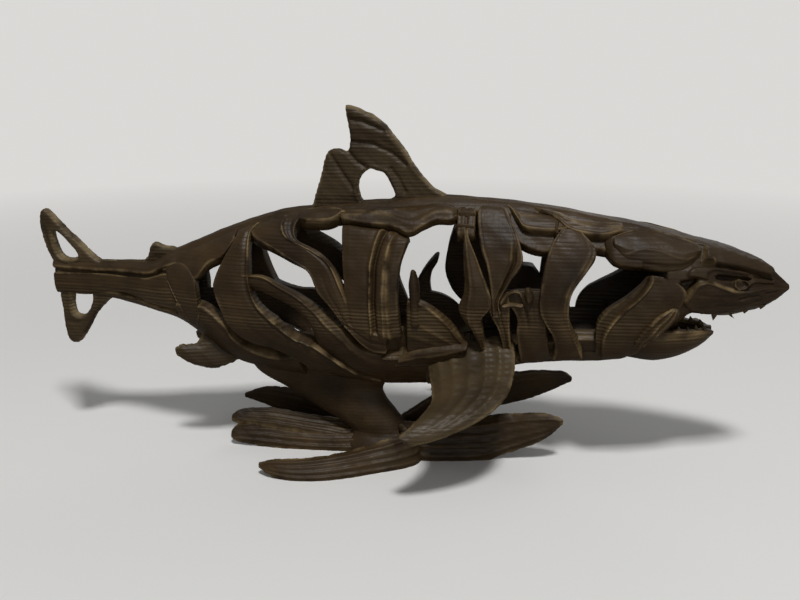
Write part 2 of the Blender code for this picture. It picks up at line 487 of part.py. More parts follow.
# Leaves of the base: each curls up from the hub. Upper edge, lower edge, thickness part
leaves = {
    "leaf_front": [(3, -1, 5.6, 8, -3, -0.7, 1), (4.5, -6.6, 5.8, 7.4, -8.6, -0.7, 1),
                   (-2.8, -11.2, 4.4, -0.5, -13.8, -0.7, 1), (-9.2, -14.4, 3.6, -8, -17.6, -0.7, 1),
                   (-14.6, -16.0, 3.3, -14.6, -18.8, -0.6, 0.9),
                   (-19.6, -16.6, 3.0, -19.6, -18.2, 0.2, 0.8),
                   (-22.0, -16.9, 2.5, -22.0, -17.4, 1.4, 0.6)],
    "leaf_left": [(-2, 2, 4.4, -3, -4, -0.7, 1), (-9, 0.2, 3.4, -9.6, -4.4, -0.7, 1),
                  (-17.6, -0.6, 3.8, -17.2, -4.8, -0.6, 1), (-25, -1.4, 5.0, -25, -4.8, 0.0, 0.9),
                  (-30.6, -2.6, 4.2, -30.8, -4.6, 0.7, 0.8), (-32.2, -3.4, 3.0, -32.2, -4.2, 1.2, 0.6)],
    "leaf_left_top": [(-6, 3, 3.6, -8, -3, 1.2, 1), (-16, 1.6, 5.0, -17, -3.2, 2.6, 1),
                      (-24, 0.8, 6.4, -25, -3.4, 3.6, 1), (-30.2, -0.6, 6.6, -30.6, -3.2, 4.2, 0.8),
                      (-32.4, -1.8, 5.8, -32.4, -3.0, 4.6, 0.6)],
    "leaf_back_left": [(-3, 2, 4, -4, 5, -0.7, 1), (-10, 5.6, 4.8, -10.6, 8, -0.7, 1),
                       (-16.4, 8.8, 6.4, -17, 11, -0.7, 1), (-23, 10.8, 7.3, -22.8, 12.6, -0.5, 1),
                       (-29.6, 12, 6.8, -29.6, 12.8, 2.2, 0.9), (-34.4, 12.2, 5.0, -34.4, 12.4, 3.9, 0.6)],
    "leaf_right": [(3, 0.6, 5.6, 4, -4.8, -0.7, 1), (9, -1.6, 6.4, 9, -6.2, -0.7, 1),
                   (15, -1.4, 7.2, 14.6, -5.6, -0.7, 1), (20.4, -1, 8.2, 20.4, -4.4, -0.6, 1),
                   (26.4, -1, 9.3, 25.8, -3.2, 1.2, 0.9), (33.2, -2, 10.1, 33.4, -3, 4.9, 0.8),
                   (36.5, -2.6, 9.4, 36.6, -3, 8.2, 0.6)],
    "leaf_back_right": [(1, 2, 4, 2, 5, -0.7, 1), (6, 4.4, 7.4, 7, 8, -0.7, 1),
                        (13, 6.6, 11.4, 14.4, 9.6, 2.4, 1), (21, 8.2, 13.8, 22.4, 10.8, 5.6, 1),
                        (29.4, 9.2, 15.0, 30.4, 11, 8.2, 0.9), (36.2, 9.8, 15.0, 36.4, 10.6, 11.4, 0.8),
                        (38.5, 10, 13.9, 38.5, 10.2, 12.7, 0.6)],
}
for name, stations in leaves.items():
    blade(name, stations, leaf_thickness, crown=0.3)
floor_cut = [[(-60, -50, -6), (60, -50, -6), (60, -50, 0), (-60, -50, 0)],
             [(-60, 50, -6), (60, 50, -6), (60, 50, 0), (-60, 50, 0)]]
tube("floor_cut", floor_cut, cutters)

# One piece from all of them: the ridge takes the others in, then the cuts are made
ridge = bpy.data.objects["ridge"]
tools.objects.unlink(ridge)
bpy.context.scene.collection.objects.link(ridge)
for name, operation, group in (("join", "UNION", tools), ("cut", "DIFFERENCE", cutters)):
    step = ridge.modifiers.new(name, "BOOLEAN")
    step.operation = operation
    step.operand_type = "COLLECTION"
    step.collection = group
    step.solver = "MANIFOLD"
joined = bpy.data.meshes.new_from_object(ridge.evaluated_get(bpy.context.evaluated_depsgraph_get()))
bpy.data.objects.remove(ridge, do_unlink=True)

# Pockets shut in where strips cross are filled: they are the islands that face inwards
bm = bmesh.new()
bm.from_mesh(joined)
waiting = set(bm.faces)
while waiting:
    island, edge = set(), [waiting.pop()]
    while edge:
        face = edge.pop()
        island.add(face)
        for near in (f for e in face.edges for f in e.link_faces):
            if near in waiting:
                waiting.discard(near)
                edge.append(near)
    inside = sum(f.calc_area() * f.normal.dot(f.calc_center_median()) for f in island)
    if inside < 0:
        bmesh.ops.delete(bm, geom=list(island), context="FACES")
bm.to_mesh(joined)
bm.free()
body = bpy.data.objects.new("shark_figurine", joined)
bpy.context.scene.collection.objects.link(body)

plastic = bpy.data.materials.new("dark_plastic")
plastic.use_nodes = True
shader = plastic.node_tree.nodes["Principled BSDF"]
shader.inputs["Base Color"].default_value = (0.03, 0.024, 0.018, 1)
shader.inputs["Roughness"].default_value = 0.5
joined.materials.clear()
joined.materials.append(plastic)
for face in joined.polygons:
    face.material_index = 0
    face.use_smooth = True
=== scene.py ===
import bpy
import math
import numpy as np
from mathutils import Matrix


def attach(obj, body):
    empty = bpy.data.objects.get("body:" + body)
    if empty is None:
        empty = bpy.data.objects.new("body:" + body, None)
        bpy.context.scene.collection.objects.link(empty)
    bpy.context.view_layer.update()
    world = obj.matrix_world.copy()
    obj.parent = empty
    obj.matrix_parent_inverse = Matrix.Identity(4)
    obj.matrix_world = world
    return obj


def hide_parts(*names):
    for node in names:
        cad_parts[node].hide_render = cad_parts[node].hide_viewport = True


# Looks of the printed shark: each strip of the body, fin and leaf as its own fine closed surface.
# Lengths are thousandths of a metre until a mesh is made. A place on the body is (x, girth),
# girth in degrees: 0 the right flank (-Y), 90 the back, -90 the belly.

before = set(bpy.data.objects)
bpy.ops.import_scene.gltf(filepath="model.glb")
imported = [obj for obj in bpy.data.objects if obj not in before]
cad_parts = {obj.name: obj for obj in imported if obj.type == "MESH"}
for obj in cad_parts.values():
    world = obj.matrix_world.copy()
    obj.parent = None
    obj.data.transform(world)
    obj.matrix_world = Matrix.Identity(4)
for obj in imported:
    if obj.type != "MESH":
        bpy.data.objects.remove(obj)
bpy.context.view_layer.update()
print("frame loaded")

backLine = [(-76, 38.2), (-58.5, 38.2), (-49.6, 38.3), (-43.9, 40.9), (-36.2, 44.1), (-27.5, 47.6),
            (-19, 50), (-9.8, 51.2), (1.3, 52.4), (13, 53.4), (22.8, 52.8), (32.3, 51.8), (41.8, 50.3),
            (51.2, 48.6), (60.5, 46.2), (65.2, 45), (69.9, 43.3), (73.6, 41.4), (77.3, 38.2)]
bellyLine = [(-76, 30.4), (-58.8, 30.4), (-50.4, 28.7), (-43.8, 27), (-38.9, 24.2), (-31.6, 18.6), (-20, 16),
             (-10, 15), (0, 14.5), (10, 15), (20, 17.5), (27, 19.8), (34, 21), (43, 21.6), (50, 24),
             (56, 28), (60, 31.5), (65.6, 31.2), (71, 32.4), (74.5, 34), (77.3, 37)]
flankLine = [(-76, 1.2), (-62, 1.6), (-55, 2.6), (-45, 5.2), (-35, 7.4), (-25, 8.8), (-10, 9.8), (5, 10),
             (20, 10), (35, 9.7), (50, 9), (60, 7.6), (68, 5.5), (73.6, 3.2), (77.3, 0.8)]


def through(points, at):
    # Cubic curve through (place, value) pairs; the slope at a pair is the harmonic mean of its
    # two neighbours' slopes, so that the curve never swings past a pair
    p = np.array(points, float)
    x, y = p[:, 0], p[:, 1]
    slope = np.diff(y) / np.diff(x)
    ends = np.concatenate([slope[:1], slope, slope[-1:]])
    product, total = ends[:-1] * ends[1:], ends[:-1] + ends[1:]
    m = np.where(product > 0, 2 * product / np.where(total == 0, 1, total), 0.0)
    at = np.clip(np.asarray(at, float), x[0], x[-1])
    i = np.clip(np.searchsorted(x, at, side="right") - 1, 0, len(x) - 2)
    gap = x[i + 1] - x[i]
    t = (at - x[i]) / gap
    return ((1 + 2 * t) * (1 - t) ** 2 * y[i] + t * (1 - t) ** 2 * gap * m[i]
            + t * t * (3 - 2 * t) * y[i + 1] + t * t * (t - 1) * gap * m[i + 1])


def straight(points, at):
    # Straight lines through (place, value) pairs
    p = np.array(points, float)
    return np.interp(at, p[:, 0], p[:, 1])


def skin(x, girth, lift=0.0):
    # Body point: an ellipse round X at each x, from belly line to back line and as wide as the flank
    # line, grown outwards by lift
    x, girth, lift = np.broadcast_arrays(np.asarray(x, float), girth, lift)
    a = np.radians(girth)
    high, low = through(backLine, x), through(bellyLine, x)
    outY = np.maximum(through(flankLine, x) + lift, 0.25)
    outZ = np.maximum((high - low) / 2 + lift, 0.4)
    return np.stack([x, -outY * np.cos(a), (high + low) / 2 + outZ * np.sin(a)], -1)


def rowsThrough(rows, count):
    # Catmull-Rom curve through rows of values, sampled evenly by row number:
    # q(t) = (2 p1 + (p2 - p0) t + (2 p0 - 5 p1 + 4 p2 - p3) t^2 + (3 p1 - p0 - 3 p2 + p3) t^3) / 2
    rows = np.array(rows, float)
    padded = np.vstack([2 * rows[:1] - rows[1:2], rows, 2 * rows[-1:] - rows[-2:-1]])
    t = np.linspace(0, len(rows) - 1, count)
    i = np.minimum(t.astype(int), len(rows) - 2)
    t = (t - i)[:, None]
    p0, p1, p2, p3 = padded[i], padded[i + 1], padded[i + 2], padded[i + 3]
    return 0.5 * (2 * p1 + (p2 - p0) * t + (2 * p0 - 5 * p1 + 4 * p2 - p3) * t ** 2
                  + (3 * p1 - p0 - 3 * p2 + p3) * t ** 3)


handWaves = np.random.default_rng(7).normal(size=(9, 3))
handPhases = np.random.default_rng(8).uniform(0, 6.28, 9)


def handMade(points, size):
    # Slow unevenness of a modelled surface: twice the mean of nine sine waves across space, each
    # with its own direction and phase, about size thousandths from crest to crest
    waves = handWaves * (6.28 / size / 1.7)
    return np.sin(points @ waves.T + handPhases).mean(-1) * 2.0


# Meshes. A shell is (points, faces of four, faces of three, edge mark of each point)
def closedShell(rings, mark, dome=0.5):
    # Rings of equal count skinned into a closed shell. Each end is drawn together over four more
    # rings on a quarter circle, (1 - cos a) inwards and sin a times dome outwards, to a point
    rings, mark = np.asarray(rings, float), np.asarray(mark, float)
    k = rings.shape[1]
    bend = np.radians([26, 50, 70, 84])
    capped, marks = [rings], [mark]
    for end, beside in ((0, 1), (-1, -2)):
        centre = rings[end].mean(0)
        out = centre - rings[beside].mean(0)
        out = out / max(np.linalg.norm(out), 1e-6)
        cap = (centre + (rings[end] - centre) * np.cos(bend)[:, None, None]
               + out * (np.sin(bend) * dome)[:, None, None])
        capMark = np.repeat(mark[end][None], 4, 0)
        if end == 0:
            capped.insert(0, cap[::-1])
            marks.insert(0, capMark)
            firstPole = centre + out * dome
        else:
            capped.append(cap)
            marks.append(capMark)
            lastPole = centre + out * dome
    rings, mark = np.concatenate(capped), np.concatenate(marks)
    n = len(rings)
    i, j = np.meshgrid(np.arange(n - 1), np.arange(k), indexing="ij")
    q = (j + 1) % k
    fours = np.stack([i * k + j, i * k + q, (i + 1) * k + q, (i + 1) * k + j], -1).reshape(-1, 4)
    j = np.arange(k)
    q = (j + 1) % k
    threes = np.concatenate([np.stack([np.full(k, n * k), q, j], -1),
                             np.stack([np.full(k, n * k + 1), (n - 1) * k + j, (n - 1) * k + q], -1)])
    points = np.concatenate([rings.reshape(-1, 3), [firstPole], [lastPole]])
    return turnedOut(points, fours, threes, np.concatenate([mark.reshape(-1), [0, 0]]))


def turnedOut(points, fours, threes, mark):
    # Faces turned so that they point out: the volume under them, a sum of a . (b x c) / 6, is positive
    corners = np.concatenate([fours[:, [0, 1, 2]], fours[:, [0, 2, 3]], threes])
    a, b, c = points[corners[:, 0]], points[corners[:, 1]], points[corners[:, 2]]
    if np.einsum("ij,ij->i", a, np.cross(b, c)).sum() < 0:
        fours, threes = fours[:, ::-1], threes[:, ::-1]
    return points, fours, threes, mark


def otherSide(shell):
    # The same shell on the left flank
    points, fours, threes, mark = shell
    return points * [1, -1, 1], fours[:, ::-1], threes[:, ::-1], mark


def makePiece(name, shells, material):
    # One object from closed shells, in metres, with the edge mark as an attribute; the material paints
    # highlights where the edge mark is high
    points, fours, threes, marks, start = [], [], [], [], 0
    for p, f, t, m in shells:
        points.append(p)
        fours.append(f + start)
        threes.append(t + start)
        marks.append(m)
        start += len(p)
    points = np.concatenate(points)
    faces = np.concatenate(fours).tolist() + np.concatenate(threes).tolist()
    points[:, 2] = np.maximum(points[:, 2], 0.0)
    mesh = bpy.data.meshes.new(name)
    mesh.from_pydata((points * 0.001).tolist(), [], faces)
    edge = mesh.attributes.new("edgeMark", "FLOAT", "POINT")
    edge.data.foreach_set("value", np.clip(np.concatenate(marks), 0, 1))
    mesh.polygons.foreach_set("use_smooth", np.ones(len(mesh.polygons), bool))
    mesh.materials.append(material)
    mesh.update()
    thing = bpy.data.objects.new(name, mesh)
    bpy.context.scene.collection.objects.link(thing)
    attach(thing, "root")
    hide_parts("shark_figurine")
    print(name, len(faces), "faces")
    return thing


def sectionLoop(width, thick, radius, across, inside=8, bend=4):
    # Rounded rectangle walked once for every row: over the outer face, round one edge, back along
    # the inner face, round the other. Gives the part across (0 to 1) and the depth under the face
    r = np.minimum(radius, width / 2.3)[:, None]
    w = width[:, None]
    u = np.linspace(0, 1, across)[None]
    v = np.linspace(0, 1, inside)[None]
    a = np.linspace(0, np.pi / 2, bend + 1)[1:-1][None]
    one = np.ones_like(r)
    side = [(r + (w - 2 * r) * u, 0 * one * u),
            (w - r + r * np.sin(a), r * (np.cos(a) - 1)),
            (w * one, -r), (w * one, r - thick),
            (w - r + r * np.cos(a), r - thick - r * np.sin(a)),
            (r + (w - 2 * r) * (1 - v), -thick * one + 0 * v),
            (r - r * np.sin(a), r - thick - r * np.cos(a)),
            (0 * one, r - thick), (0 * one, -r),
            (r - r * np.cos(a), -r + r * np.sin(a))]
    place = np.concatenate([s * np.ones_like(d) for s, d in side], 1)
    depth = np.concatenate([d * np.ones_like(s) for s, d in side], 1)
    return place / w, depth


def stripShell(rows, lift=0.0, thick=2.6, radius=0.3, swell=0.35, profile=None, rims=(), cuts=(),
               uneven=0.12, step=0.42, across=26, dome=0.4, side=1, fray=None):
    # Curved band over the body. Rows are (x, girth) of one edge, then of the other, and may end with
    # a lift. Height over the skin at s across and t along:
    # lift + own lift + profile(s) or 4 swell s (1 - s) + sum of rims h exp(-(d / w)^2) - the same for
    # cuts + unevenness, with d the distance from the line in thousandths. Fray lists where along the
    # run the second edge is crumbled
    rows = [tuple(row) + (0,) * (5 - len(row)) for row in rows]
    middle = rowsThrough(rows, 60)
    run = skin((middle[:, 0] + middle[:, 2]) / 2, (middle[:, 1] + middle[:, 3]) / 2)
    length = np.linalg.norm(np.diff(run, axis=0), axis=1).sum()
    count = int(np.clip(length / step, 14, 130))
    grid = rowsThrough(rows, count)
    xa, ga, xb, gb, own = grid.T
    width = np.linalg.norm(skin(xa, ga, lift) - skin(xb, gb, lift), axis=1)
    s, depth = sectionLoop(width, thick, radius, across)
    t = np.linspace(0, 1, count)[:, None] * np.ones_like(s)
    w = width[:, None]
    high = own[:, None] + lift
    face = (straight(profile, s) if profile else 4 * swell * s * (1 - s))
    raised = 0 * s
    for line in rims:
        at, tall, wide = line[:3]
        fade = straight(line[3], t) if len(line) > 3 else 1.0
        at = straight(at, t) if isinstance(at, (list, tuple)) else at
        bulge = tall * fade * np.exp(-((s - at) * w / wide) ** 2)
        face, raised = face + bulge, raised + bulge
    for line in cuts:
        at, deep, wide = line[:3]
        fade = straight(line[3], t) if len(line) > 3 else 1.0
        at = straight(at, t) if isinstance(at, (list, tuple)) else at
        face = face - deep * fade * np.exp(-((s - at) * w / wide) ** 2)
    outer = np.clip(1 + depth / thick * 1.15, 0, 1)
    if fray:
        rim = skin(xb, gb) * [1, side, 1]
        crumb = handMade(rim, 0.9)[:, None] + handMade(rim, 1.7)[:, None]
        near = np.exp(-((s - 1) * w / 0.8) ** 2) * straight(fray, t)
        face = face + 0.2 * crumb * near
        s = s + 0.16 / w * crumb * near
    x, g = xa[:, None] + (xb - xa)[:, None] * s, ga[:, None] + (gb - ga)[:, None] * s
    wander = handMade(skin(x, g) * [1, side, 1], 5.0)
    points = skin(x, g, high + face * outer + depth + wander * uneven * (0.35 + 0.65 * outer))
    away = np.minimum(s, 1 - s) * w
    # Edge mark for the painted highlight: near the edges of the outer face and on the rims
    mark = (0.3 * np.exp(-(away / 0.25) ** 2) + 2.0 * raised) * outer
    shell = closedShell(points, mark, dome)
    return otherSide(shell) if side < 0 else shell


def bothSides(rows, far=None, **how):
    # The band on the right flank, and on the left one with its own rows if it has them
    return [stripShell(rows, **how), stripShell(far or rows, side=-1, **how)]


def bladeShell(rows, thick, crown=0.3, ridges=(), count=90, across=40, rough=0.1, side=1, dome=0.3,
               edgeRough=0.0):
    # Free blade. Rows are one edge point, the other edge point and the part of the thickness. At s
    # across, the upper face stands thick / 2 * sqrt(1 - (2 s - 1)^4) + crown (1 - (2 s - 1)^2) + ridges
    # above the chord; the lower face hangs the first term below the crown, with 0.4 of the ridges.
    # Ridges are (s, height, width, pairs of the place along and the part that is left there)
    grid = rowsThrough(rows, count)
    a, b, part = grid[:, :3], grid[:, 3:6], grid[:, 6]
    chord = b - a
    middle = (a + b) / 2
    along = np.gradient(middle, axis=0)
    up = np.cross(chord, along)
    up = up / np.linalg.norm(up, axis=1)[:, None]
    up = up * np.where(up[:, 2:3].sum() < 0, -1, 1)
    width = np.linalg.norm(chord, axis=1)[:, None]
    turn = np.linspace(0, 2 * np.pi, across * 2, endpoint=False)[None]
    s = 0.5 - 0.5 * np.sign(np.cos(turn)) * np.abs(np.cos(turn)) ** 0.8 * np.ones_like(width)
    upper = np.where(np.sin(turn) >= 0, 1.0, -1.0) * np.ones_like(width)
    t = np.linspace(0, 1, count)[:, None] * np.ones_like(s)
    half = thick / 2 * part[:, None] * (1 - np.abs(2 * s - 1) ** 4) ** 0.5
    bow = crown * part[:, None] * (1 - (2 * s - 1) ** 2)
    ridge = 0 * s
    for at, tall, wide, fade in ridges:
        line = straight(at, t) if isinstance(at, (list, tuple)) else at
        ridge = ridge + tall * straight(fade, t) * np.exp(-((s - line) * width / wide) ** 2)
    base = a[:, None] + chord[:, None] * s[..., None]
    wander = handMade(base, 4.0) * rough + handMade(base, 1.7) * rough * 0.5
    fray = handMade(base, 1.1) * edgeRough * np.abs(2 * s - 1) ** 3
    high = upper * half + bow + (ridge + wander) * np.where(upper > 0, 1, 0.4) * np.minimum(half * 2, 1)
    points = base + up[:, None] * high[..., None] + chord[:, None] / width[..., None] * (
        fray * np.sign(2 * s - 1))[..., None]
    inward = np.minimum(s, 1 - s) * width / 0.4
    # Edge mark for the painted highlight: near the edges of the upper face and on the ridges
    mark = 0.7 * np.exp(-inward ** 2) * (upper > 0) + 0.35 * ridge * (upper > 0)
    shell = closedShell(points, mark, dome)
    return otherSide(shell) if side < 0 else shell


def toLine(x, z, line):
    # Distance of every (x, z) to a broken line: the least over its straight parts
    p = np.array(line, float)
    a, d = p[:-1], np.diff(p, axis=0)
    rel = np.stack([x, z], -1)[..., None, :] - a
    t = np.clip((rel * d).sum(-1) / np.maximum((d * d).sum(-1), 1e-9), 0, 1)
    return np.linalg.norm(rel - t[..., None] * d, axis=-1).min(-1)


def toShape(x, z, outline):
    # Signed distance to a closed outline, under 0 inside: the distance to its edges, with the sign
    # from how often a line to the right crosses them
    p = np.array(outline, float)
    q = np.roll(p, -1, 0)
    away = toLine(x, z, np.vstack([p, p[:1]]))
    crosses = ((p[:, 1] > z[..., None]) != (q[:, 1] > z[..., None])) & (
        x[..., None] < (q[:, 0] - p[:, 0]) * (z[..., None] - p[:, 1]) / np.where(
            q[:, 1] == p[:, 1], 1e-9, q[:, 1] - p[:, 1]) + p[:, 0])
    return np.where(crosses.sum(-1) % 2 == 1, -away, away)


def closedCurve(outline, parts=5):
    # Catmull-Rom curve through a closed outline
    p = np.array(outline, float)
    ring = np.vstack([p[-1:], p, p[:2]])
    t = np.linspace(0, len(p), len(p) * parts, endpoint=False)
    i = t.astype(int)
    t = (t - i)[:, None]
    p0, p1, p2, p3 = ring[i], ring[i + 1], ring[i + 2], ring[i + 3]
    return 0.5 * (2 * p1 + (p2 - p0) * t + (2 * p0 - 5 * p1 + 4 * p2 - p3) * t ** 2
                  + (3 * p1 - p0 - 3 * p2 + p3) * t ** 3)


def finShell(outline, holes=(), lines=(), ridges=(), thick=2.4, soft=0.75, cell=0.26, holeRim=0.25, parts=4,
             edge=0.1):
    # Flat fin across Y on a grid of X and Z, kept where it is inside the outline and outside the
    # holes. At a distance d from the nearest edge the half thickness is
    # thick / 2 * sqrt(1 - (1 - d / soft)^2), with grooves and ridges added along lines
    shape = closedCurve(outline, parts)
    low, high = shape.min(0) - 0.5, shape.max(0) + 0.5
    x, z = np.meshgrid(np.arange(low[0], high[0], cell), np.arange(low[1], high[1], cell), indexing="ij")

    def inside(x, z):
        d = -toShape(x, z, shape)
        for hole in holes:
            d = np.minimum(d, toShape(x, z, closedCurve(hole, parts)))
        place = np.stack([x, 0 * x, z], -1)
        return d + edge * handMade(place, 1.6)
    d = inside(x, z)
    kept = (d[:-1, :-1] + d[1:, :-1] + d[:-1, 1:] + d[1:, 1:]) / 4 > 0.0
    around = np.zeros((x.shape[0] + 1, x.shape[1] + 1), bool)
    around[1:-1, 1:-1] = kept
    touching = np.stack([around[:-1, :-1], around[1:, :-1], around[:-1, 1:], around[1:, 1:]])
    used, rim = touching.any(0), touching.any(0) & ~touching.all(0)
    for _ in range(3):
        slopeX, slopeZ = np.gradient(d, cell)
        steep = np.maximum(slopeX ** 2 + slopeZ ** 2, 0.25)
        x = np.where(rim, x - d * slopeX / steep, x)
        z = np.where(rim, z - d * slopeZ / steep, z)
        d = np.where(rim, inside(x, z) * 0.5, inside(x, z))
    d = np.where(rim, 0.0, np.maximum(inside(x, z), 0.03))
    half = thick / 2 * np.sqrt(np.clip(1 - (1 - np.minimum(d / soft, 1)) ** 2, 0, 1))
    for hole in holes:
        away = toShape(x, z, closedCurve(hole, parts))
        half = half + holeRim * np.exp(-((away - 0.65) / 0.38) ** 2) * (~rim)
    for line, deep, wide in lines:
        half = half - deep * np.exp(-(toLine(x, z, line) / wide) ** 2) * np.minimum(d / 0.5, 1)
    for line, tall, wide in ridges:
        half = half + tall * np.exp(-(toLine(x, z, line) / wide) ** 2) * np.minimum(d / 0.5, 1)
    place = np.stack([x, 0 * x, z], -1)
    half = half + (0.09 * handMade(place, 3.2) + 0.04 * handMade(place, 1.2)) * np.minimum(d / 0.6, 1)
    half = np.where(rim, 0.0, np.maximum(half, 0.12))
    front = np.where(used, np.cumsum(used).reshape(used.shape) - 1, 0)
    more = used & ~rim
    back = np.where(more, np.cumsum(more).reshape(more.shape) - 1 + used.sum(), front)
    i, j = np.nonzero(kept)
    fours = np.concatenate([
        np.stack([front[i, j], front[i + 1, j], front[i + 1, j + 1], front[i, j + 1]], -1),
        np.stack([back[i, j], back[i, j + 1], back[i + 1, j + 1], back[i + 1, j]], -1)])
    points = np.concatenate([np.stack([x[used], -half[used], z[used]], -1),
                             np.stack([x[more], half[more], z[more]], -1)])
    # Edge mark for the painted highlight: near the outline and round the holes
    mark = np.exp(-(d / 0.42) ** 2)
    return turnedOut(points, fours, np.zeros((0, 3), int), np.concatenate([mark[used], mark[more]]))


def loftShell(rings, count, uneven=0.1, dome=0.3):
    # Closed body through a few rings of points, smooth along its run
    rings = np.asarray(rings, float)
    n, k = rings.shape[:2]
    flat = rowsThrough(rings.reshape(n, -1), count).reshape(count, k, 3)
    centre = flat.mean(1, keepdims=True)
    out = flat - centre
    out = out / np.maximum(np.linalg.norm(out, axis=-1, keepdims=True), 1e-6)
    flat = flat + out * (handMade(flat, 4.5) * uneven)[..., None]
    return closedShell(flat, np.zeros((count, k)), dome)


print("shapes of the body")

# Ridge along the back, keel along the belly
backAndKeel = {
    "ridge": dict(rows=[(-46, 60, -46, 120), (-30, 64, -30, 116), (-14, 67, -14, 113), (2, 67, 2, 113),
                        (20, 67, 20, 113), (40, 65, 40, 115), (52, 60, 52, 120), (64, 48, 64, 132)],
                  lift=0.25, thick=3.2, profile=((0, -0.8), (0.25, -0.05), (0.5, 0.1), (0.75, -0.05),
                                                 (1, -0.8)),
                  rims=((0.3, 0.06, 0.3), (0.7, 0.06, 0.3)), across=40, step=0.5),
    "keel": dict(rows=[(-42, -48, -42, -132), (-33, -58, -33, -122), (-22, -60, -22, -120),
                       (0, -62, 0, -118), (20, -58, 20, -122), (34, -56, 34, -124), (46, -54, 46, -126),
                       (50, -48, 50, -132)],
                 lift=0.0, thick=3.2, profile=((0, -0.4), (0.25, 0), (0.5, 0.15), (0.75, 0), (1, -0.4)),
                 across=34, step=0.55),
}

# Tail stock: a solid core, two strips along it with a seam between, a wedge under them
tailStock = {
    "upper": dict(rows=[(-70.8, 84, -70.6, 32), (-62, 86, -62, 26), (-55, 86, -55, 30), (-46, 86, -45, 36),
                        (-42, 84, -41, 40, -0.6), (-39, 82, -38, 42, -1.6)], lift=0.3, thick=1.4,
                  profile=((0, -0.5), (0.3, 0.1), (0.75, 0.25), (1, 0.1)), rims=((0.97, 0.2, 0.28),),
                  cuts=((0.45, 0.12, 0.5),)),
    "lower": dict(rows=[(-70.4, 17, -70.4, -50), (-62, 20, -62, -54), (-55, 21, -55, -26),
                        (-46, 27, -45, -38), (-43, 24, -42.4, -34, -0.5), (-41, 20, -40, -30, -1.4)],
                  lift=0.3, thick=1.4, swell=0.35, rims=((0.03, 0.24, 0.26), (0.97, 0.12, 0.3)),
                  cuts=((0.4, 0.15, 0.5), (0.62, 0.1, 0.4))),
    "wedge": dict(rows=[(-60, -36, -60, -80), (-52, -36, -52, -84), (-46, -50, -45, -86),
                        (-39, -44, -38, -88)],
                  lift=0.15, thick=1.4, swell=0.3, rims=((0.03, 0.2, 0.3),)),
}
stockSide = dict(lift=0.3, thick=2.2, swell=0.35, rims=((0.97, 0.25, 0.3),))
stockSideRows = [(-44, 40, -43.4, 10), (-41.6, 42, -40.8, -30), (-39.4, 34, -38.6, -52),
                 (-37.4, 18, -36.8, -24)]
stockSideFar = [(-44, 40, -43.4, 8), (-42.6, 40, -42, -30), (-40.6, 32, -40.2, -52), (-39.6, 16, -39.2, -22)]
turn = np.radians(np.arange(0, 360, 9))
stockCore = loftShell([skin(x, np.degrees(turn), -0.3)
                       for x in (-70.6, -66, -62, -58, -55, -52, -49, -46, -44, -41)], 70)

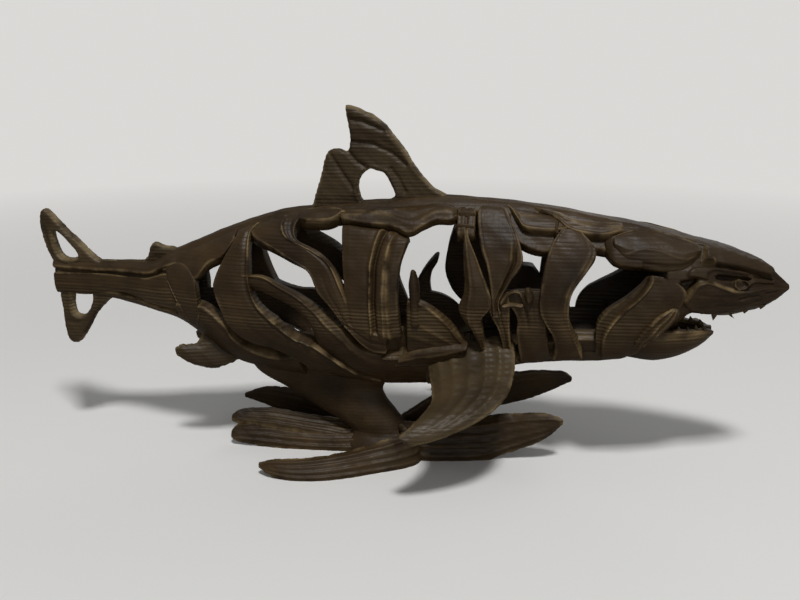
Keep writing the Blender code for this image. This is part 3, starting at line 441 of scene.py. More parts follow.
# Rear flank: the strips between the tail stock and the broad rib, the rib, and the cross rib
rearFlank = {
    "back": dict(rows=[(-45, 82, -45, 34), (-40, 82, -40, 16), (-37.6, 82, -37.2, 18), (-35, 82, -35, 33),
                       (-33, 82, -33, 38), (-31, 82, -31.2, 42), (-29.4, 82, -29.6, 54)],
                 far=[(-45, 82, -45, 34), (-41, 82, -41, 20), (-38.8, 82, -38.8, 24), (-35, 82, -35, 34),
                      (-33, 82, -33, 38), (-31, 82, -31.2, 42), (-29.4, 82, -29.6, 54)],
                 lift=0.0, profile=((0, -1.5), (0.3, 0), (0.75, 0.25), (1, 0.05)), rims=((0.97, 0.2, 0.3),),
                 cuts=((0.62, 0.12, 0.35, ((0, 0), (0.3, 1), (0.7, 0))),)),
    "rib": dict(rows=[(-30, 80, -24, 80, -1.6), (-29, 56, -25.8, 57), (-31.5, 34, -25.6, 32),
                      (-33.2, 14, -25.2, 13), (-31.9, -4, -23.6, -1), (-30, -21, -20.4, -12),
                      (-26, -31, -16.4, -23), (-20.5, -36, -12, -29), (-14, -50, -7, -44),
                      (-7, -74, 0, -68, -0.8)],
                far=[(-30, 80, -24, 80, -1.6), (-29, 56, -26.6, 57), (-31.5, 34, -26.8, 30),
                     (-33.2, 16, -26, 14), (-32.6, 0, -24.4, 0), (-30.6, -18, -21.4, -13),
                     (-26, -31, -16.8, -25), (-20.5, -38, -12, -31), (-14, -52, -7, -46),
                     (-7, -74, 0, -68, -0.8)],
                lift=0.5, profile=((0, 0), (0.2, 0.35), (0.6, 0.5), (0.86, 0.3), (1, 0.25)),
                rims=((0.975, 0.3, 0.24), (0.03, 0.12, 0.3)),
                fray=((0, 0), (0.45, 0), (0.55, 1), (0.9, 1), (1, 0)),
                cuts=((0.88, 0.18, 0.4), (0.45, 0.12, 0.6, ((0, 0), (0.4, 0), (0.55, 1), (0.8, 0)))),
                across=34),
    "belly": dict(rows=[(-42, -20, -42, -82), (-38, -12, -38, -86), (-35.2, -9, -36, -88),
                        (-31.6, -18, -32, -92), (-29.9, -32, -30, -92), (-27.5, -39, -28, -92),
                        (-23, -45, -23, -92), (-19.2, -44, -19, -92), (-16.6, -38, -15, -92)], lift=0.2,
                  swell=0.3, rims=((0.03, 0.3, 0.3),), cuts=((0.12, 0.12, 0.35),)),
    "cross": dict(rows=[(-27, 22, -26.6, 11), (-22.7, 20, -22.4, 7), (-19.5, 13.5, -19, 1.5),
                        (-15.6, 6.5, -15.2, -6), (-11.9, -2, -13, -16), (-9.4, -9, -11.6, -30),
                        (-7, -16, -8.5, -46), (-4.2, -27, -4.4, -58), (-0.6, -33, 0, -66),
                        (5.2, -33, 5.2, -66), (10, -36, 10, -66)],
                  far=[(-28, 14, -27, 3), (-24.3, 2, -23.8, -10), (-20, -4, -19.2, -22),
                       (-16.3, -5, -15, -28), (-12.6, -9, -13, -38), (-9, -14, -9.5, -46),
                       (-4.2, -28, -4.4, -58), (-0.6, -34, 0, -66), (5.2, -34, 5.2, -66),
                       (10, -36, 10, -66)],
                  lift=0.1, profile=((0, 0.0), (0.16, 0.5), (0.4, 0.45), (0.7, 0.2), (1, -0.3)),
                  rims=((0.16, 0.32, 0.26, ((0, 1), (0.55, 1), (0.75, 0))),),
                  cuts=((0.3, 0.12, 0.35, ((0, 1), (0.6, 0))),)),
}

# Shoulder under the back fin, the rounded strip end beside it, the saddle and the main band
middleFlank = {
    "shoulder": dict(rows=[(-27, 82, -14.6, 82, -1.6), (-26.6, 66, -15.6, 70, -0.4), (-25, 51, -16.6, 56),
                           (-22.2, 42, -15.8, 44), (-17.6, 30, -11, 34), (-13.4, 21, -8.2, 24),
                           (-11.4, 8, -6.0, 8), (-9.2, 0, -5.2, -2), (-7.3, -8, -4.6, -12),
                           (-6.6, -12, -4, -18, -0.3)],
                     far=[(-27, 82, -16.4, 82, -1.6), (-26.6, 66, -17, 70, -0.4), (-25, 51, -17, 56),
                          (-22.2, 40, -16.8, 45), (-19, 28, -13.8, 37), (-15.4, 19, -10.6, 27),
                          (-12.4, 8, -7, 10), (-9.4, 0, -5.2, -2), (-7.3, -8, -4.6, -12),
                          (-6.6, -12, -4, -18, -0.3)],
                     lift=0.3, profile=((0, 0.1), (0.3, 0.3), (0.7, 0.5), (0.8, 0.2), (1, 0.1)),
                     rims=((((0, 0.66), (0.3, 0.7), (0.5, 0.86), (1, 1)), 0.5, 0.24,
                            ((0, 0), (0.12, 1), (0.62, 1), (0.75, 0))),
                           (0.03, 0.12, 0.3)),
                     cuts=((0.4, 0.15, 0.4, ((0, 0), (0.55, 0), (0.65, 1), (1, 1))),
                           (((0, 0.8), (0.5, 1)), 0.15, 0.3, ((0, 0), (0.15, 1), (0.5, 1), (0.6, 0)))),
                     across=44, step=0.34),
    "roundEnd": dict(rows=[(-20, 84, -20, 72, -2.4), (-16.5, 82, -16.5, 64, -1.0), (-14, 80, -14, 57),
                           (-10.4, 77, -10.4, 56), (-8.4, 74, -8.4, 59), (-7.5, 69, -7.5, 64)], lift=0.9,
                     profile=((0, -1.6), (0.2, -0.2), (0.6, 0.2), (0.93, 0.25), (1, 0)),
                     rims=((0.93, 0.22, 0.25), (0.24, 0.2, 0.25)), radius=0.5, step=0.25, dome=0.9),
    "saddle": dict(rows=[(-8.6, 86, -7.2, 58), (-2.6, 86, -2.6, 53), (2, 86, 2, 50), (5.2, 86, 6, 43.5),
                         (8.6, 84, 8.8, 48), (11, 84, 11.2, 52), (13.6, 80, 14, 52),
                         (14.7, 72, 14.8, 56, -0.4)],
                   lift=0.7, profile=((0, -2.2), (0.3, -1.0), (0.6, 0.05), (0.85, 0.25), (1, 0.05)),
                   thick=1.7, radius=0.2, rims=((0.985, 0.12, 0.22),
                                                (((0, 0.55), (0.5, 0.9), (1, 0.7)), 0.16, 0.5,
                                                 ((0, 0), (0.3, 1), (0.8, 1), (1, 0))),
                                                (((0, 0.9), (0.4, 0.5), (1, 0.5)), 0.2, 0.4,
                                                 ((0, 1), (0.4, 1), (0.5, 0)))),
                   cuts=((0.72, 0.2, 0.4, ((0, 0), (0.1, 1), (0.5, 1), (0.7, 0))),), step=0.3),
    "band": dict(rows=[(-7.2, 59, 5.9, 47, -1.8), (-7.1, 52, 5.7, 39), (-6.7, 32, 4.6, 26),
                       (-6.2, 14, 4.3, 14), (-5.9, 0, 4.2, 2), (-5.6, -9, 4.6, -12), (-5.5, -13, 4.9, -21),
                       (-5.4, -15, 5, -23, -2.0), (-2, -40, 6.4, -44, -2.0)],
                 far=[(-7.2, 59, 4, 47, -1.8), (-7.1, 52, 3.7, 39), (-7.0, 32, 2.8, 28), (-8.0, 14, 1.6, 13),
                      (-5.9, 0, 2, 2), (-5.6, -9, 3.6, -11), (-5.5, -13, 4.4, -21),
                      (-5.4, -15, 4.6, -23, -2.0), (-2, -40, 6.4, -44, -2.0)],
                 lift=0.3, profile=((0, 0), (0.12, 0.3), (0.42, 0.45), (0.55, 0.6), (0.8, 0.6), (0.87, 0.1),
                                    (1, -0.4)),
                 rims=((((0, 0.66), (0.3, 0.5), (1, 0.42)), 0.5, 0.26,
                        ((0, 0), (0.1, 1), (0.75, 1), (0.85, 0))),
                       (((0, 0.86), (0.3, 0.74), (1, 0.66)), 0.3, 0.3,
                        ((0, 0), (0.15, 1), (0.7, 1), (0.8, 0))),
                       (((0, 0.7), (0.3, 0.8), (1, 0.8)), 0.25, 0.5,
                        ((0, 0), (0.15, 1), (0.7, 1), (0.8, 0)))),
                 cuts=((((0, 0.72), (0.3, 0.57), (1, 0.5)), 1.0, 0.42,
                        ((0, 0), (0.1, 1), (0.75, 1), (0.9, 0))),
                       (((0, 0.6), (0.3, 0.44), (1, 0.36)), 0.12, 0.5,
                        ((0, 0), (0.12, 1), (0.8, 1), (1, 0)))),
                 across=84, step=0.34),
    "bandFoot": dict(rows=[(-6.2, -9, -6.0, -13.5), (-4.4, -12, -4.7, -18), (-2.4, -14, -2.8, -25),
                           (-0.4, -16, -0.8, -29.5), (1.8, -18, 1.7, -30.5)], lift=0.5, thick=2.2, swell=0.2,
                     rims=((0.05, 0.2, 0.3), (0.95, 0.2, 0.3)), cuts=((0.5, 0.2, 0.4),), step=0.25),
    "lowerPlate": dict(rows=[(6.2, 3, 6.2, -60), (8.6, 1, 8.6, -64), (11, -4, 11, -66),
                             (13.8, -13, 13.8, -66), (15.6, -22, 15.6, -66), (17.2, -30, 17.2, -66)],
                       far=[(5.4, -4, 5.4, -60), (8.4, -6.5, 8.4, -64), (11, -9, 11, -66),
                            (13.4, -14, 13.4, -66), (15.6, -22, 15.6, -66), (17.2, -30, 17.2, -66)],
                       lift=-0.2, swell=0.3,
                       rims=((0.02, 0.25, 0.3), (0.22, 0.15, 0.3, ((0, 0), (0.3, 1), (1, 1))),
                             (0.34, 0.12, 0.3, ((0, 1), (0.7, 1), (1, 0)))), across=44, step=0.3),
    "ledge": dict(rows=[(4.4, -34, 4.4, -37), (7, -30, 7, -38), (11, -27.5, 11, -38),
                        (14.5, -27.5, 14.5, -35), (17.4, -28.5, 17.4, -31)], lift=1.1, thick=3.4,
                  radius=0.45, profile=((0, -0.9), (0.15, -0.1), (0.5, 0.1), (1, 0)),
                  rims=((0.4, 0.12, 0.3),), step=0.25),
    "innerLedge": dict(rows=[(1.2, -33.5, 1.2, -37), (4, -33.8, 4, -37.2), (6.2, -33.6, 6.2, -36)], lift=0.8,
                       thick=2.4, profile=((0, -0.3), (0.3, 0.1), (1, -0.2)), step=0.22, uneven=0.25),
    "lowLedge": dict(rows=[(3.6, -39.4, 3.6, -43), (7, -39.2, 7, -43.6), (11, -39.4, 11, -42)], lift=0.7,
                     thick=2.4, profile=((0, -0.3), (0.3, 0.15), (1, -0.2)), step=0.22, uneven=0.25),
    "finger": dict(rows=[(6.6, 18.6, 7.6, 19), (6.3, 12, 8.2, 13), (6.5, 3, 8.4, 3), (6.6, -12, 8.8, -12)],
                   far=[(8.9, 16.4, 10.2, 16.8), (8.0, 13.4, 9.9, 13.4), (6.6, 7, 8.8, 7), (5.6, 0, 8.4, -1),
                        (5.6, -12, 9, -12)],
                   lift=0.2, swell=0.4, radius=0.7, step=0.2, dome=0.7),
}

# Block, narrow rib and rib plate in front of the big opening, and the back plates over them
frontFlank = {
    "block": dict(rows=[(15, 78, 18.3, 78, -0.9), (15, 62, 18.5, 62), (15.2, 43, 18.5, 43)], lift=-0.3,
                  swell=0.35, rims=((0.05, 0.15, 0.3), (0.95, 0.15, 0.3)), cuts=((0.5, 0.25, 0.35),),
                  uneven=0.2, step=0.25),
    "blockBead": dict(rows=[(15.6, 62, 15.6, 58), (16.8, 62.4, 16.8, 57.6), (18, 61, 18, 58)], lift=0.1,
                      swell=0.5, radius=0.5, step=0.2, uneven=0.3),
    "blockStep": dict(rows=[(15.2, 51, 15.2, 47.6), (16.6, 51.4, 16.6, 47.4), (18, 50.4, 18, 47)], lift=0.0,
                      swell=0.4, radius=0.5, step=0.2, uneven=0.3),
    "narrowRib": dict(rows=[(15.4, 54, 18, 54, -1.2), (16.4, 42, 17.4, 42), (16.6, 26, 19.2, 26),
                            (16.9, 7, 21.2, 9), (15.9, -4, 22.4, -3), (17, -13, 20.4, -12),
                            (18.6, -22, 20.6, -21), (20, -36, 21.4, -36), (21, -62, 25, -62)],
                      far=[(14, 54, 18, 54, -1.2), (13.4, 42, 19.0, 42), (12.2, 26, 19.4, 26),
                           (11.6, 9, 20.6, 11), (12.8, -4, 22.6, -2), (14.6, -13, 23, -12),
                           (17.6, -24, 23.6, -22), (19, -38, 23.6, -38), (21, -62, 25, -62)],
                      lift=0.1, profile=((0, -0.7), (0.26, 0.35), (0.5, 0.5), (0.9, 0.2), (1, 0.0)),
                      rims=((0.27, 0.15, 0.26, ((0, 1), (0.5, 1), (0.7, 0))), (0.96, 0.2, 0.26)), step=0.3,
                      across=30),
    "ribPlate": dict(rows=[(20.4, 72, 22.8, 73, -0.9), (19.1, 64, 24.2, 65), (19.0, 51, 25.4, 53),
                           (19.8, 34, 27.2, 34), (21, 22, 27.6, 23), (21.8, 10, 25.6, 11),
                           (22.2, 0, 23.6, -1), (22.4, -10, 24, -10)],
                     far=[(19, 72, 21.8, 73, -0.9), (18.1, 64, 22.6, 65), (17.8, 51, 23.4, 53),
                          (18.2, 32, 24.8, 33), (18.8, 20, 26, 20), (19.6, 10, 26.6, 8), (20.4, 0, 26.8, -3),
                          (21, -16, 28, -18), (22, -34, 28, -36)],
                     lift=0.8, profile=((0, -0.1), (0.12, 0.2), (0.66, 0.3), (0.85, 0.3), (1, 0)),
                     cuts=((((0, 1), (0.3, 0.98), (0.5, 0.8), (1, 0.6)), 0.7, 0.26,
                            ((0, 0), (0.4, 0), (0.5, 1), (0.95, 1), (1, 0))),),
                     rims=((0.03, 0.22, 0.26), (0.975, 0.2, 0.26),
                           (((0, 0.9), (0.3, 0.88), (0.5, 0.7), (1, 0.45)), 0.22, 0.26,
                            ((0, 0), (0.4, 0), (0.5, 1), (1, 0)))),
                     across=52, step=0.3),
    "under": dict(rows=[(24.6, 84, 25.2, 48), (27, 84, 27.4, 38), (30.6, 84, 30.6, 33.5), (34, 84, 34, 36),
                        (38, 84, 38, 42), (43, 84, 43, 42), (48, 84, 48, 42)], lift=-0.9, swell=0.3,
                  uneven=0.2, rims=((0.97, 0.2, 0.35),)),
    "plateA": dict(rows=[(24.4, 77, 24.5, 74, -0.8), (26.1, 82, 26.4, 57), (27.8, 84, 28.1, 48.5),
                         (33, 84, 33.2, 49), (37, 84, 37.4, 56)],
                   far=[(24.4, 75, 24.5, 72, -1.4), (26.1, 76, 26.4, 57, -0.5), (27.8, 76, 28.1, 48.5, -0.3),
                        (33, 76, 33.2, 49, -0.3), (37, 76, 37.4, 56, -0.5)], lift=0.6,
                   profile=((0, -2.4), (0.3, -0.9), (0.6, 0.1), (0.8, 0.25), (1, 0.1)),
                   rims=((0.97, 0.25, 0.28), (((0, 0.9), (1, 0.4)), 0.15, 0.35)), step=0.3),
    "plateB": dict(rows=[(29.4, 78, 29.6, 75, -1.1), (33.4, 84, 33.6, 60), (36.4, 84, 36.4, 51.5),
                         (41.4, 84, 41.8, 50.5), (45.6, 84, 45.6, 58)],
                   far=[(29.4, 74, 29.6, 71, -2.0), (33.4, 76, 33.6, 60, -0.8), (36.4, 76, 36.4, 51.5, -0.6),
                        (41.4, 76, 41.8, 50.5, -0.6), (45.6, 76, 45.6, 58, -0.8)], lift=0.95,
                   profile=((0, -2.8), (0.3, -1.2), (0.6, 0.0), (0.8, 0.2), (1, 0)),
                   rims=((0.97, 0.25, 0.28), (((0, 0.9), (1, 0.5)), 0.18, 0.3),
                         (((0, 0.7), (1, 0.8)), 0.15, 0.5)),
                   step=0.3),
    "knot": dict(rows=[(33.4, 57, 36.4, 57), (33.2, 50, 36.4, 50), (34, 44, 36.2, 44)], lift=0.8, thick=2.2,
                 profile=((0, 0.2), (0.16, 0.5), (0.3, -0.5), (0.5, 0.35), (0.68, -0.6), (0.86, 0.4),
                          (1, 0)), radius=0.4,
                 across=36, step=0.15, uneven=0.25),
    "rib": dict(rows=[(34.6, 52, 38.6, 50), (32.8, 38, 41.0, 37), (31.7, 22, 39.6, 22), (31.1, 5, 37, 5),
                      (31.1, -8, 36.5, -8), (32.4, -19, 36.9, -20), (33.7, -28, 37.6, -28),
                      (34.3, -42, 38.8, -39), (34, -50, 39.6, -48, 0.5), (34, -58, 39.4, -57, -0.5),
                      (34.2, -68, 39, -68, -2.2)], lift=0.8, swell=0.5,
                rims=((0.035, 0.25, 0.26), (0.97, 0.2, 0.26),
                      (((0, 0.9), (0.35, 0.85), (1, 0.8)), 0.2, 0.3, ((0, 0), (0.3, 1), (0.5, 0)))),
                cuts=((((0, 0.8), (1, 0.7)), 0.2, 0.4, ((0, 0), (0.25, 0), (0.35, 1), (0.6, 0))),),
                across=40, step=0.3),
    "throat": dict(rows=[(32, -44, 32, -84), (36, -39, 36, -84), (40, -37, 40, -84), (44, -39, 44, -84),
                         (47, -42, 47, -84)],
                   far=[(32, -34, 32, -84), (36, -30, 36, -84), (40, -28, 40, -84), (44, -30, 44, -84),
                        (47, -34, 47, -84)], lift=-0.9, swell=0.1, uneven=0.2),
    "slitStrip": dict(rows=[(21.2, 2, 25.4, 4), (21.8, -8, 25.6, -11), (23.6, -22, 25.7, -25),
                            (24.6, -42, 26.3, -44), (25, -66, 28, -66)], lift=0.1, swell=0.3,
                      rims=((0.05, 0.2, 0.26), (0.95, 0.2, 0.26)), cuts=((0.5, 0.2, 0.3),), step=0.3),
    "slitPlate": dict(rows=[(23.4, 4, 32.4, 4), (26.7, -12, 32.2, -12), (27, -28, 32.6, -28),
                            (27.5, -45, 33.2, -46), (28, -68, 34, -68)],
                      far=[(22, 8, 29.6, 8), (22.6, -8, 32.4, -8), (23.6, -28, 32.6, -28),
                           (25, -45, 33.2, -46), (28, -68, 34, -68)], lift=-0.1, swell=0.35,
                      rims=((0.03, 0.2, 0.3),), cuts=((0.36, 0.4, 0.3, ((0, 0), (0.2, 1), (0.5, 0))),
                                                      (0.6, 0.2, 0.3, ((0, 0), (0.15, 1), (0.45, 0)))),
                      across=34, uneven=0.2),
    "blobArch": dict(rows=[(23.8, -1, 24.2, -3), (24.8, 3.4, 25.2, 1), (26.2, 5.4, 26.4, 3),
                           (27.4, 4.4, 27.2, 2.2), (27.8, 2.4, 27.4, 0.8)], lift=0.75, thick=1.8, swell=0.3,
                     radius=0.6, step=0.15, rims=((0.3, 0.12, 0.2),), uneven=0.4, dome=0.5),
    "blobLump": dict(rows=[(28.2, 5.2, 29.8, 4.4), (28.1, 2, 30.0, 1), (28.5, -1.6, 29.8, -2.4)], lift=0.65,
                     thick=2.0, swell=0.5, rims=((0.3, 0.12, 0.3),), radius=0.7, step=0.15, uneven=0.6,
                     dome=0.6),
    "blobLow": dict(rows=[(24.4, -3.4, 24.6, -5.4), (26, -2.6, 26.2, -6.6), (27.6, -3.6, 27.6, -6.2)],
                    lift=0.6, thick=2.0, swell=0.5, rims=((0.3, 0.12, 0.3),), radius=0.6, step=0.15,
                    uneven=0.6, dome=0.5),
}

# Cheek plate, gill strip and the fillet over it
headFlank = {
    "cheekBack": dict(rows=[(42.6, 58, 43.0, 40, -0.6), (44, 64, 44.4, 31), (46.5, 68, 47, 28),
                            (49, 70, 49.4, 28)],
                      lift=0.05, swell=0.3, step=0.3),
    "cheek": dict(rows=[(44.2, 53, 44.6, 40), (46.2, 60, 46.6, 31), (49, 67, 49.2, 28.6),
                        (51.9, 72, 51.6, 26), (54.6, 71, 54.4, 25), (57, 68, 57, 27), (58.6, 64, 58.6, 35),
                        (59.6, 57, 59.6, 44)], lift=0.45,
                  profile=((0, -0.3), (0.05, 0.15), (0.3, 0.35), (0.62, 0.5), (0.7, 0.3), (0.85, -0.1),
                           (1, -0.9)),
                  rims=((0.045, 0.34, 0.2),
                        (((0, 0.9), (0.3, 0.62), (0.5, 0.65), (0.75, 0.8), (1, 0.85)), 0.09, 0.22,
                         ((0, 0), (0.15, 1), (0.85, 1), (1, 0)))),
                  cuts=((0.9, 0.15, 0.3),), across=64, step=0.18, radius=0.35, dome=0.5),
    "gill": dict(rows=[(50.2, 20, 53.4, 17.6), (49.2, 13.2, 56.2, 9.4), (46.9, 3, 57.5, -2.6),
                       (43.9, -7, 57.1, -12), (42.6, -14, 55.6, -22), (41.8, -24, 52, -40),
                       (42, -46, 49.8, -52, 0.6), (42.4, -58, 49.8, -62, -0.5),
                       (43.2, -70, 48.6, -72, -2.2)],
                 far=[(49.4, 24, 55.6, 20), (47.4, 11, 57.2, 6), (42.8, -1, 57.4, -12),
                      (40.2, -9, 54.4, -28), (38.6, -22, 50.6, -44), (38.6, -44, 48, -54, 0.6),
                      (40, -58, 48, -62, -0.5), (42, -70, 48, -72, -2.2)], lift=0.9, thick=3.4,
                 profile=((0, -1.2), (0.1, -0.9), (0.17, 0.1), (0.6, 0.3), (0.92, 0.1), (1, -0.1)),
                 rims=((((0, 0.3), (0.3, 0.18), (0.6, 0.15), (1, 0.12)), 0.4, 0.22,
                        ((0, 0.4), (0.15, 1), (0.6, 1), (0.8, 0))),
                       (0.97, 0.12, 0.26)), across=70, step=0.26),
    "fillet": dict(rows=[(54.6, -13, 56.4, -17), (52.9, -14.6, 56.5, -27), (51.4, -20, 55.4, -34),
                         (49.9, -28, 53.8, -40), (48.8, -37, 51.7, -49)], lift=1.2, thick=2.4, swell=0.3,
                   uneven=0.5, radius=0.4, rims=((0.08, 0.3, 0.3), (0.4, 0.25, 0.25), (0.7, 0.25, 0.25)),
                   across=34, step=0.18),
}


def flanks(group):
    # Every band of a dictionary, on both flanks
    return [shell for how in group.values() for shell in bothSides(**how)]


def patch(x, v, outline, rise, bevel):
    # Height of a raised or sunk patch: rise times a smooth step over the bevel inside its outline
    d = np.clip(-toShape(x, v, outline) / bevel, 0, 1)
    return rise * d * d * (3 - 2 * d)


# Head: upper head as one closed surface with its brow, eye, nostril curl and lip plate raised on it
headForms = {
    "brow": [(57.5, 96), (57.2, 72), (60.8, 64), (60.3, 38), (63.9, 37.5), (68.3, 40.5), (71.2, 40),
             (73.6, 43), (74.6, 60), (74.6, 96)],
    "triangle": [(61.0, 66), (60.5, 37.5), (62.6, 38), (62.4, 44)],
    "lid": [(57.6, 22), (58.4, 28), (60.1, 31), (63.9, 34.5), (67.3, 36.5), (69.4, 36), (69.2, 30),
            (66, 28.5), (62.6, 27), (61.4, 20), (61.4, 10), (59.3, 12), (57.6, 15)],
    "eye": [(62.7, 19), (63.4, 24.5), (65.2, 26), (68.8, 28.5), (70.0, 26), (69.2, 20), (66.3, 15.5),
            (64.3, 12.5), (62.9, 13)],
    "lip": [(57.2, -18), (58.0, -12), (58.6, -4), (59.4, 4), (61.0, 9.5), (62.4, 8.5), (64.0, 5), (66.1, 1),
            (69.0, 2), (72.2, 10), (75.4, 14), (77.2, 4), (77.2, -8), (74.8, -27), (71.7, -33), (68.9, -33),
            (66.2, -38), (63.6, -48), (60.8, -49), (58.7, -36)],
    "recess": [(56.4, 14), (59.6, 12), (59.6, 6), (58.6, -4), (57.8, -10), (56.4, -12)],
    "curl": [(66.6, 18), (67.4, 22), (68.6, 18), (69.2, 12), (68.4, 5), (67.2, 3), (66.6, 7), (66.5, 12)],
}
headLines = [([(69.0, 12), (70.4, 20), (72.4, 22), (74, 26)], 0.35, 0.28),
             ([(57.5, -16), (58.2, -12), (58.9, -5), (59.7, 2), (61.0, 7.4), (62.6, 6.6), (64, 3.4),
               (66.1, 0)], 0.3, 0.22),
             ([(66.1, 0), (69, 1), (72.2, 8)], 0.15, 0.22),
             ([(60.4, 36.4), (63.9, 35.6), (68.6, 38.4), (71.4, 38)], -0.5, 0.2),
             ([(62, 33), (65, 35), (68.6, 35.2)], 0.2, 0.2),
             ([(61.2, 62), (61.4, 44)], 0.25, 0.25), ([(61.4, 44), (62.8, 39.5)], 0.25, 0.2),
             ([(70.5, 33), (73.6, 38)], -0.7, 0.35),
             ([(67.6, -13), (69.4, -9), (70.8, -8)], -0.35, 0.28), ([(72.6, -3), (74.6, 0)], -0.35, 0.25),
             ([(60, -12), (66, -10), (72, 0)], -0.12, 0.3), ([(63, -25), (70, -20), (74, -14)], -0.15, 0.35),
             ([(60, -30), (66, -26), (71, -22)], -0.12, 0.25),
             ([(60, -40), (66, -34), (72, -28)], -0.1, 0.25)]
perDegree = 0.115


def onHead(outline):
    # The same outline with its girth in thousandths round the head
    return [(x, girth * perDegree) for x, girth in outline]


def headShell():
    # Rings round X: the skin grown by the forms above, which rise or sink by a height over a bevel,
    # and by the lines, each h exp(-(d / w)^2); x runs along and v round the head, in thousandths
    across, count = 250, 150
    ease = np.linspace(0, 1, count)
    x = (54 + 23.2 * np.sin(ease * np.pi / 2) ** 0.85)[:, None] * np.ones((1, across))
    g = (np.linspace(-180, 180, across, endpoint=False)[None]) * np.ones((count, 1))
    near = np.where(np.abs(g) > 90, np.sign(g) * 180 - g, g)
    v = near * perDegree

    def form(name, rise, bevel):
        return patch(x, v, onHead(headForms[name]), rise, bevel)
    top = np.clip((near - 52) / 16, 0, 1)
    late = np.clip((x - 57) / 4, 0, 1)
    high = -0.55 + 0.55 * top + form("brow", 1.0, 0.4) * (1 - 0.5 * top) * (1 - top * (1 - late))
    high = high + form("lip", 0.95, 0.28) + form("lid", 0.5, 0.3) + form("triangle", 0.35, 0.3)
    high = high - form("eye", 1.3, 0.35) - form("recess", 1.7, 0.45)
    curl = np.abs(toShape(x, v, onHead(headForms["curl"])))
    high = high + 0.75 * np.exp(-(curl / 0.2) ** 2)
    for line, tall, wide in headLines:
        high = high + tall * np.exp(-(toLine(x, v, onHead(line)) / wide) ** 2)
    place = skin(x, g)
    mirrored = place * [1, 0, 1] + np.abs(place) * [0, 1, 0]
    high = high + 0.1 * handMade(mirrored, 3.6) + 0.05 * handMade(mirrored, 1.4)
    fade = np.clip((77.6 - x) / 2.5, 0, 1)
    points = skin(x, g, high * fade)
    lipEdge = toLine(x, v, onHead(headForms["lip"][:9]))
    tipEdge = toLine(x, v, onHead(headForms["triangle"]))
    # Edge mark for the painted highlight: along the nostril curl, the lip edge and the triangle
    mark = (np.exp(-(curl / 0.22) ** 2) * 0.45 + np.exp(-(lipEdge / 0.25) ** 2) * 0.7
            + np.exp(-(tipEdge / 0.2) ** 2) * 0.5)
    return closedShell(points, mark, 0.3)


# Lower jaw: a trough from the throat to the tip, with teeth along its rim
jawLine = [(45, 23.4, 32.0, 7.2), (49.5, 22.6, 31.6, 7.6), (54, 22.3, 30.2, 7.0), (58.6, 23.7, 29.6, 5.8),
           (62.2, 25.8, 29.4, 3.8), (64.2, 27.6, 28.9, 1.6)]


def jawShell():
    # A section is a U: with a from 0 to 180 degrees it runs down one wall, half cos a across and
    # high - (high - low) sin(a)^0.75 up, and back up inside, smaller by the wall
    rows = rowsThrough(jawLine, 80)
    x, low, high, half = [c[:, None] for c in rows.T]
    a = np.radians(np.linspace(0, 180, 44))[None]
    wall = np.minimum(1.5, half * 0.7)
    outer = np.stack([x + 0 * a, half * np.cos(a), high - (high - low) * np.sin(a) ** 0.75], -1)
    b = a[:, ::-1]
    floorLine = high - (high - low - wall) * np.sin(b) ** 0.75
    inner = np.stack([x - 0.8 + 0 * b, (half - wall) * np.cos(b), floorLine], -1)
    points = np.concatenate([outer, inner], 1)
    rim = np.concatenate([np.exp(-(np.minimum(a, np.pi - a) / 0.16) ** 2),
                          np.exp(-(np.minimum(b, np.pi - b) / 0.12) ** 2)], 1)
    rim = rim * np.ones_like(x)
    points[..., 2] += 0.25 * rim * handMade(points, 1.6)
    points[..., 1] += 0.12 * handMade(points * [1, 0, 1], 3.0) * np.sign(points[..., 1])
    return closedShell(points, rim * 0.6, 0.4)


def toothShell(x, y, z, tall, wide, lean=0.0):
    # Curved cone: radius wide (1 - t)^0.8, axis bent by lean t^2, tall under 0 hangs down
    t = np.linspace(0, 1, 9)[:, None]
    a = np.linspace(0, 2 * np.pi, 10, endpoint=False)[None]
    r = wide * (1.02 - t) ** 0.8
    points = np.stack([x + r * np.cos(a) + lean * t ** 2, y + r * np.sin(a) * 0.8, z + tall * t + 0 * a], -1)
    return closedShell(points, np.zeros((9, 10)) + 0.3, 0.05)


# Upper teeth as (x, tall, wide, lean), lower ones as (x, half width of the jaw there, tall)
teeth = {
    "upper": [(61.6, 0.3, 0.6, -0.15), (63.9, 1.3, 0.8, -0.15), (66.6, 0.8, 0.6, 1.0),
              (69.6, 0.5, 0.8, -0.15), (72.6, 0.55, 0.9, -0.15)],
    "lower": [(55.4, 5.9, 0.3), (57.4, 5.4, 0.6), (59.2, 4.6, 0.35), (60.8, 3.7, 0.5), (62.4, 2.4, 0.3)],
    "root": 0.5, "lipGirth": -62, "jawRim": 29.2, "lowerWide": 0.62, "lowerLean": -0.2,
}


def teethShells():
    # Both rows of teeth on both sides, each with its root sunk in the lip or the jaw
    shells = []
    for x, tall, wide, lean in teeth["upper"]:
        place = skin(x, teeth["lipGirth"], -0.6)
        for side in (-1, 1):
            shells.append(toothShell(x, place[1] * -side, place[2] + teeth["root"], -tall - teeth["root"],
                                     wide, lean))
    for x, half, tall in teeth["lower"]:
        for side in (-1, 1):
            shells.append(toothShell(x, side * (half - 0.6), teeth["jawRim"], tall + 0.6, teeth["lowerWide"],
                                     teeth["lowerLean"]))
    return shells


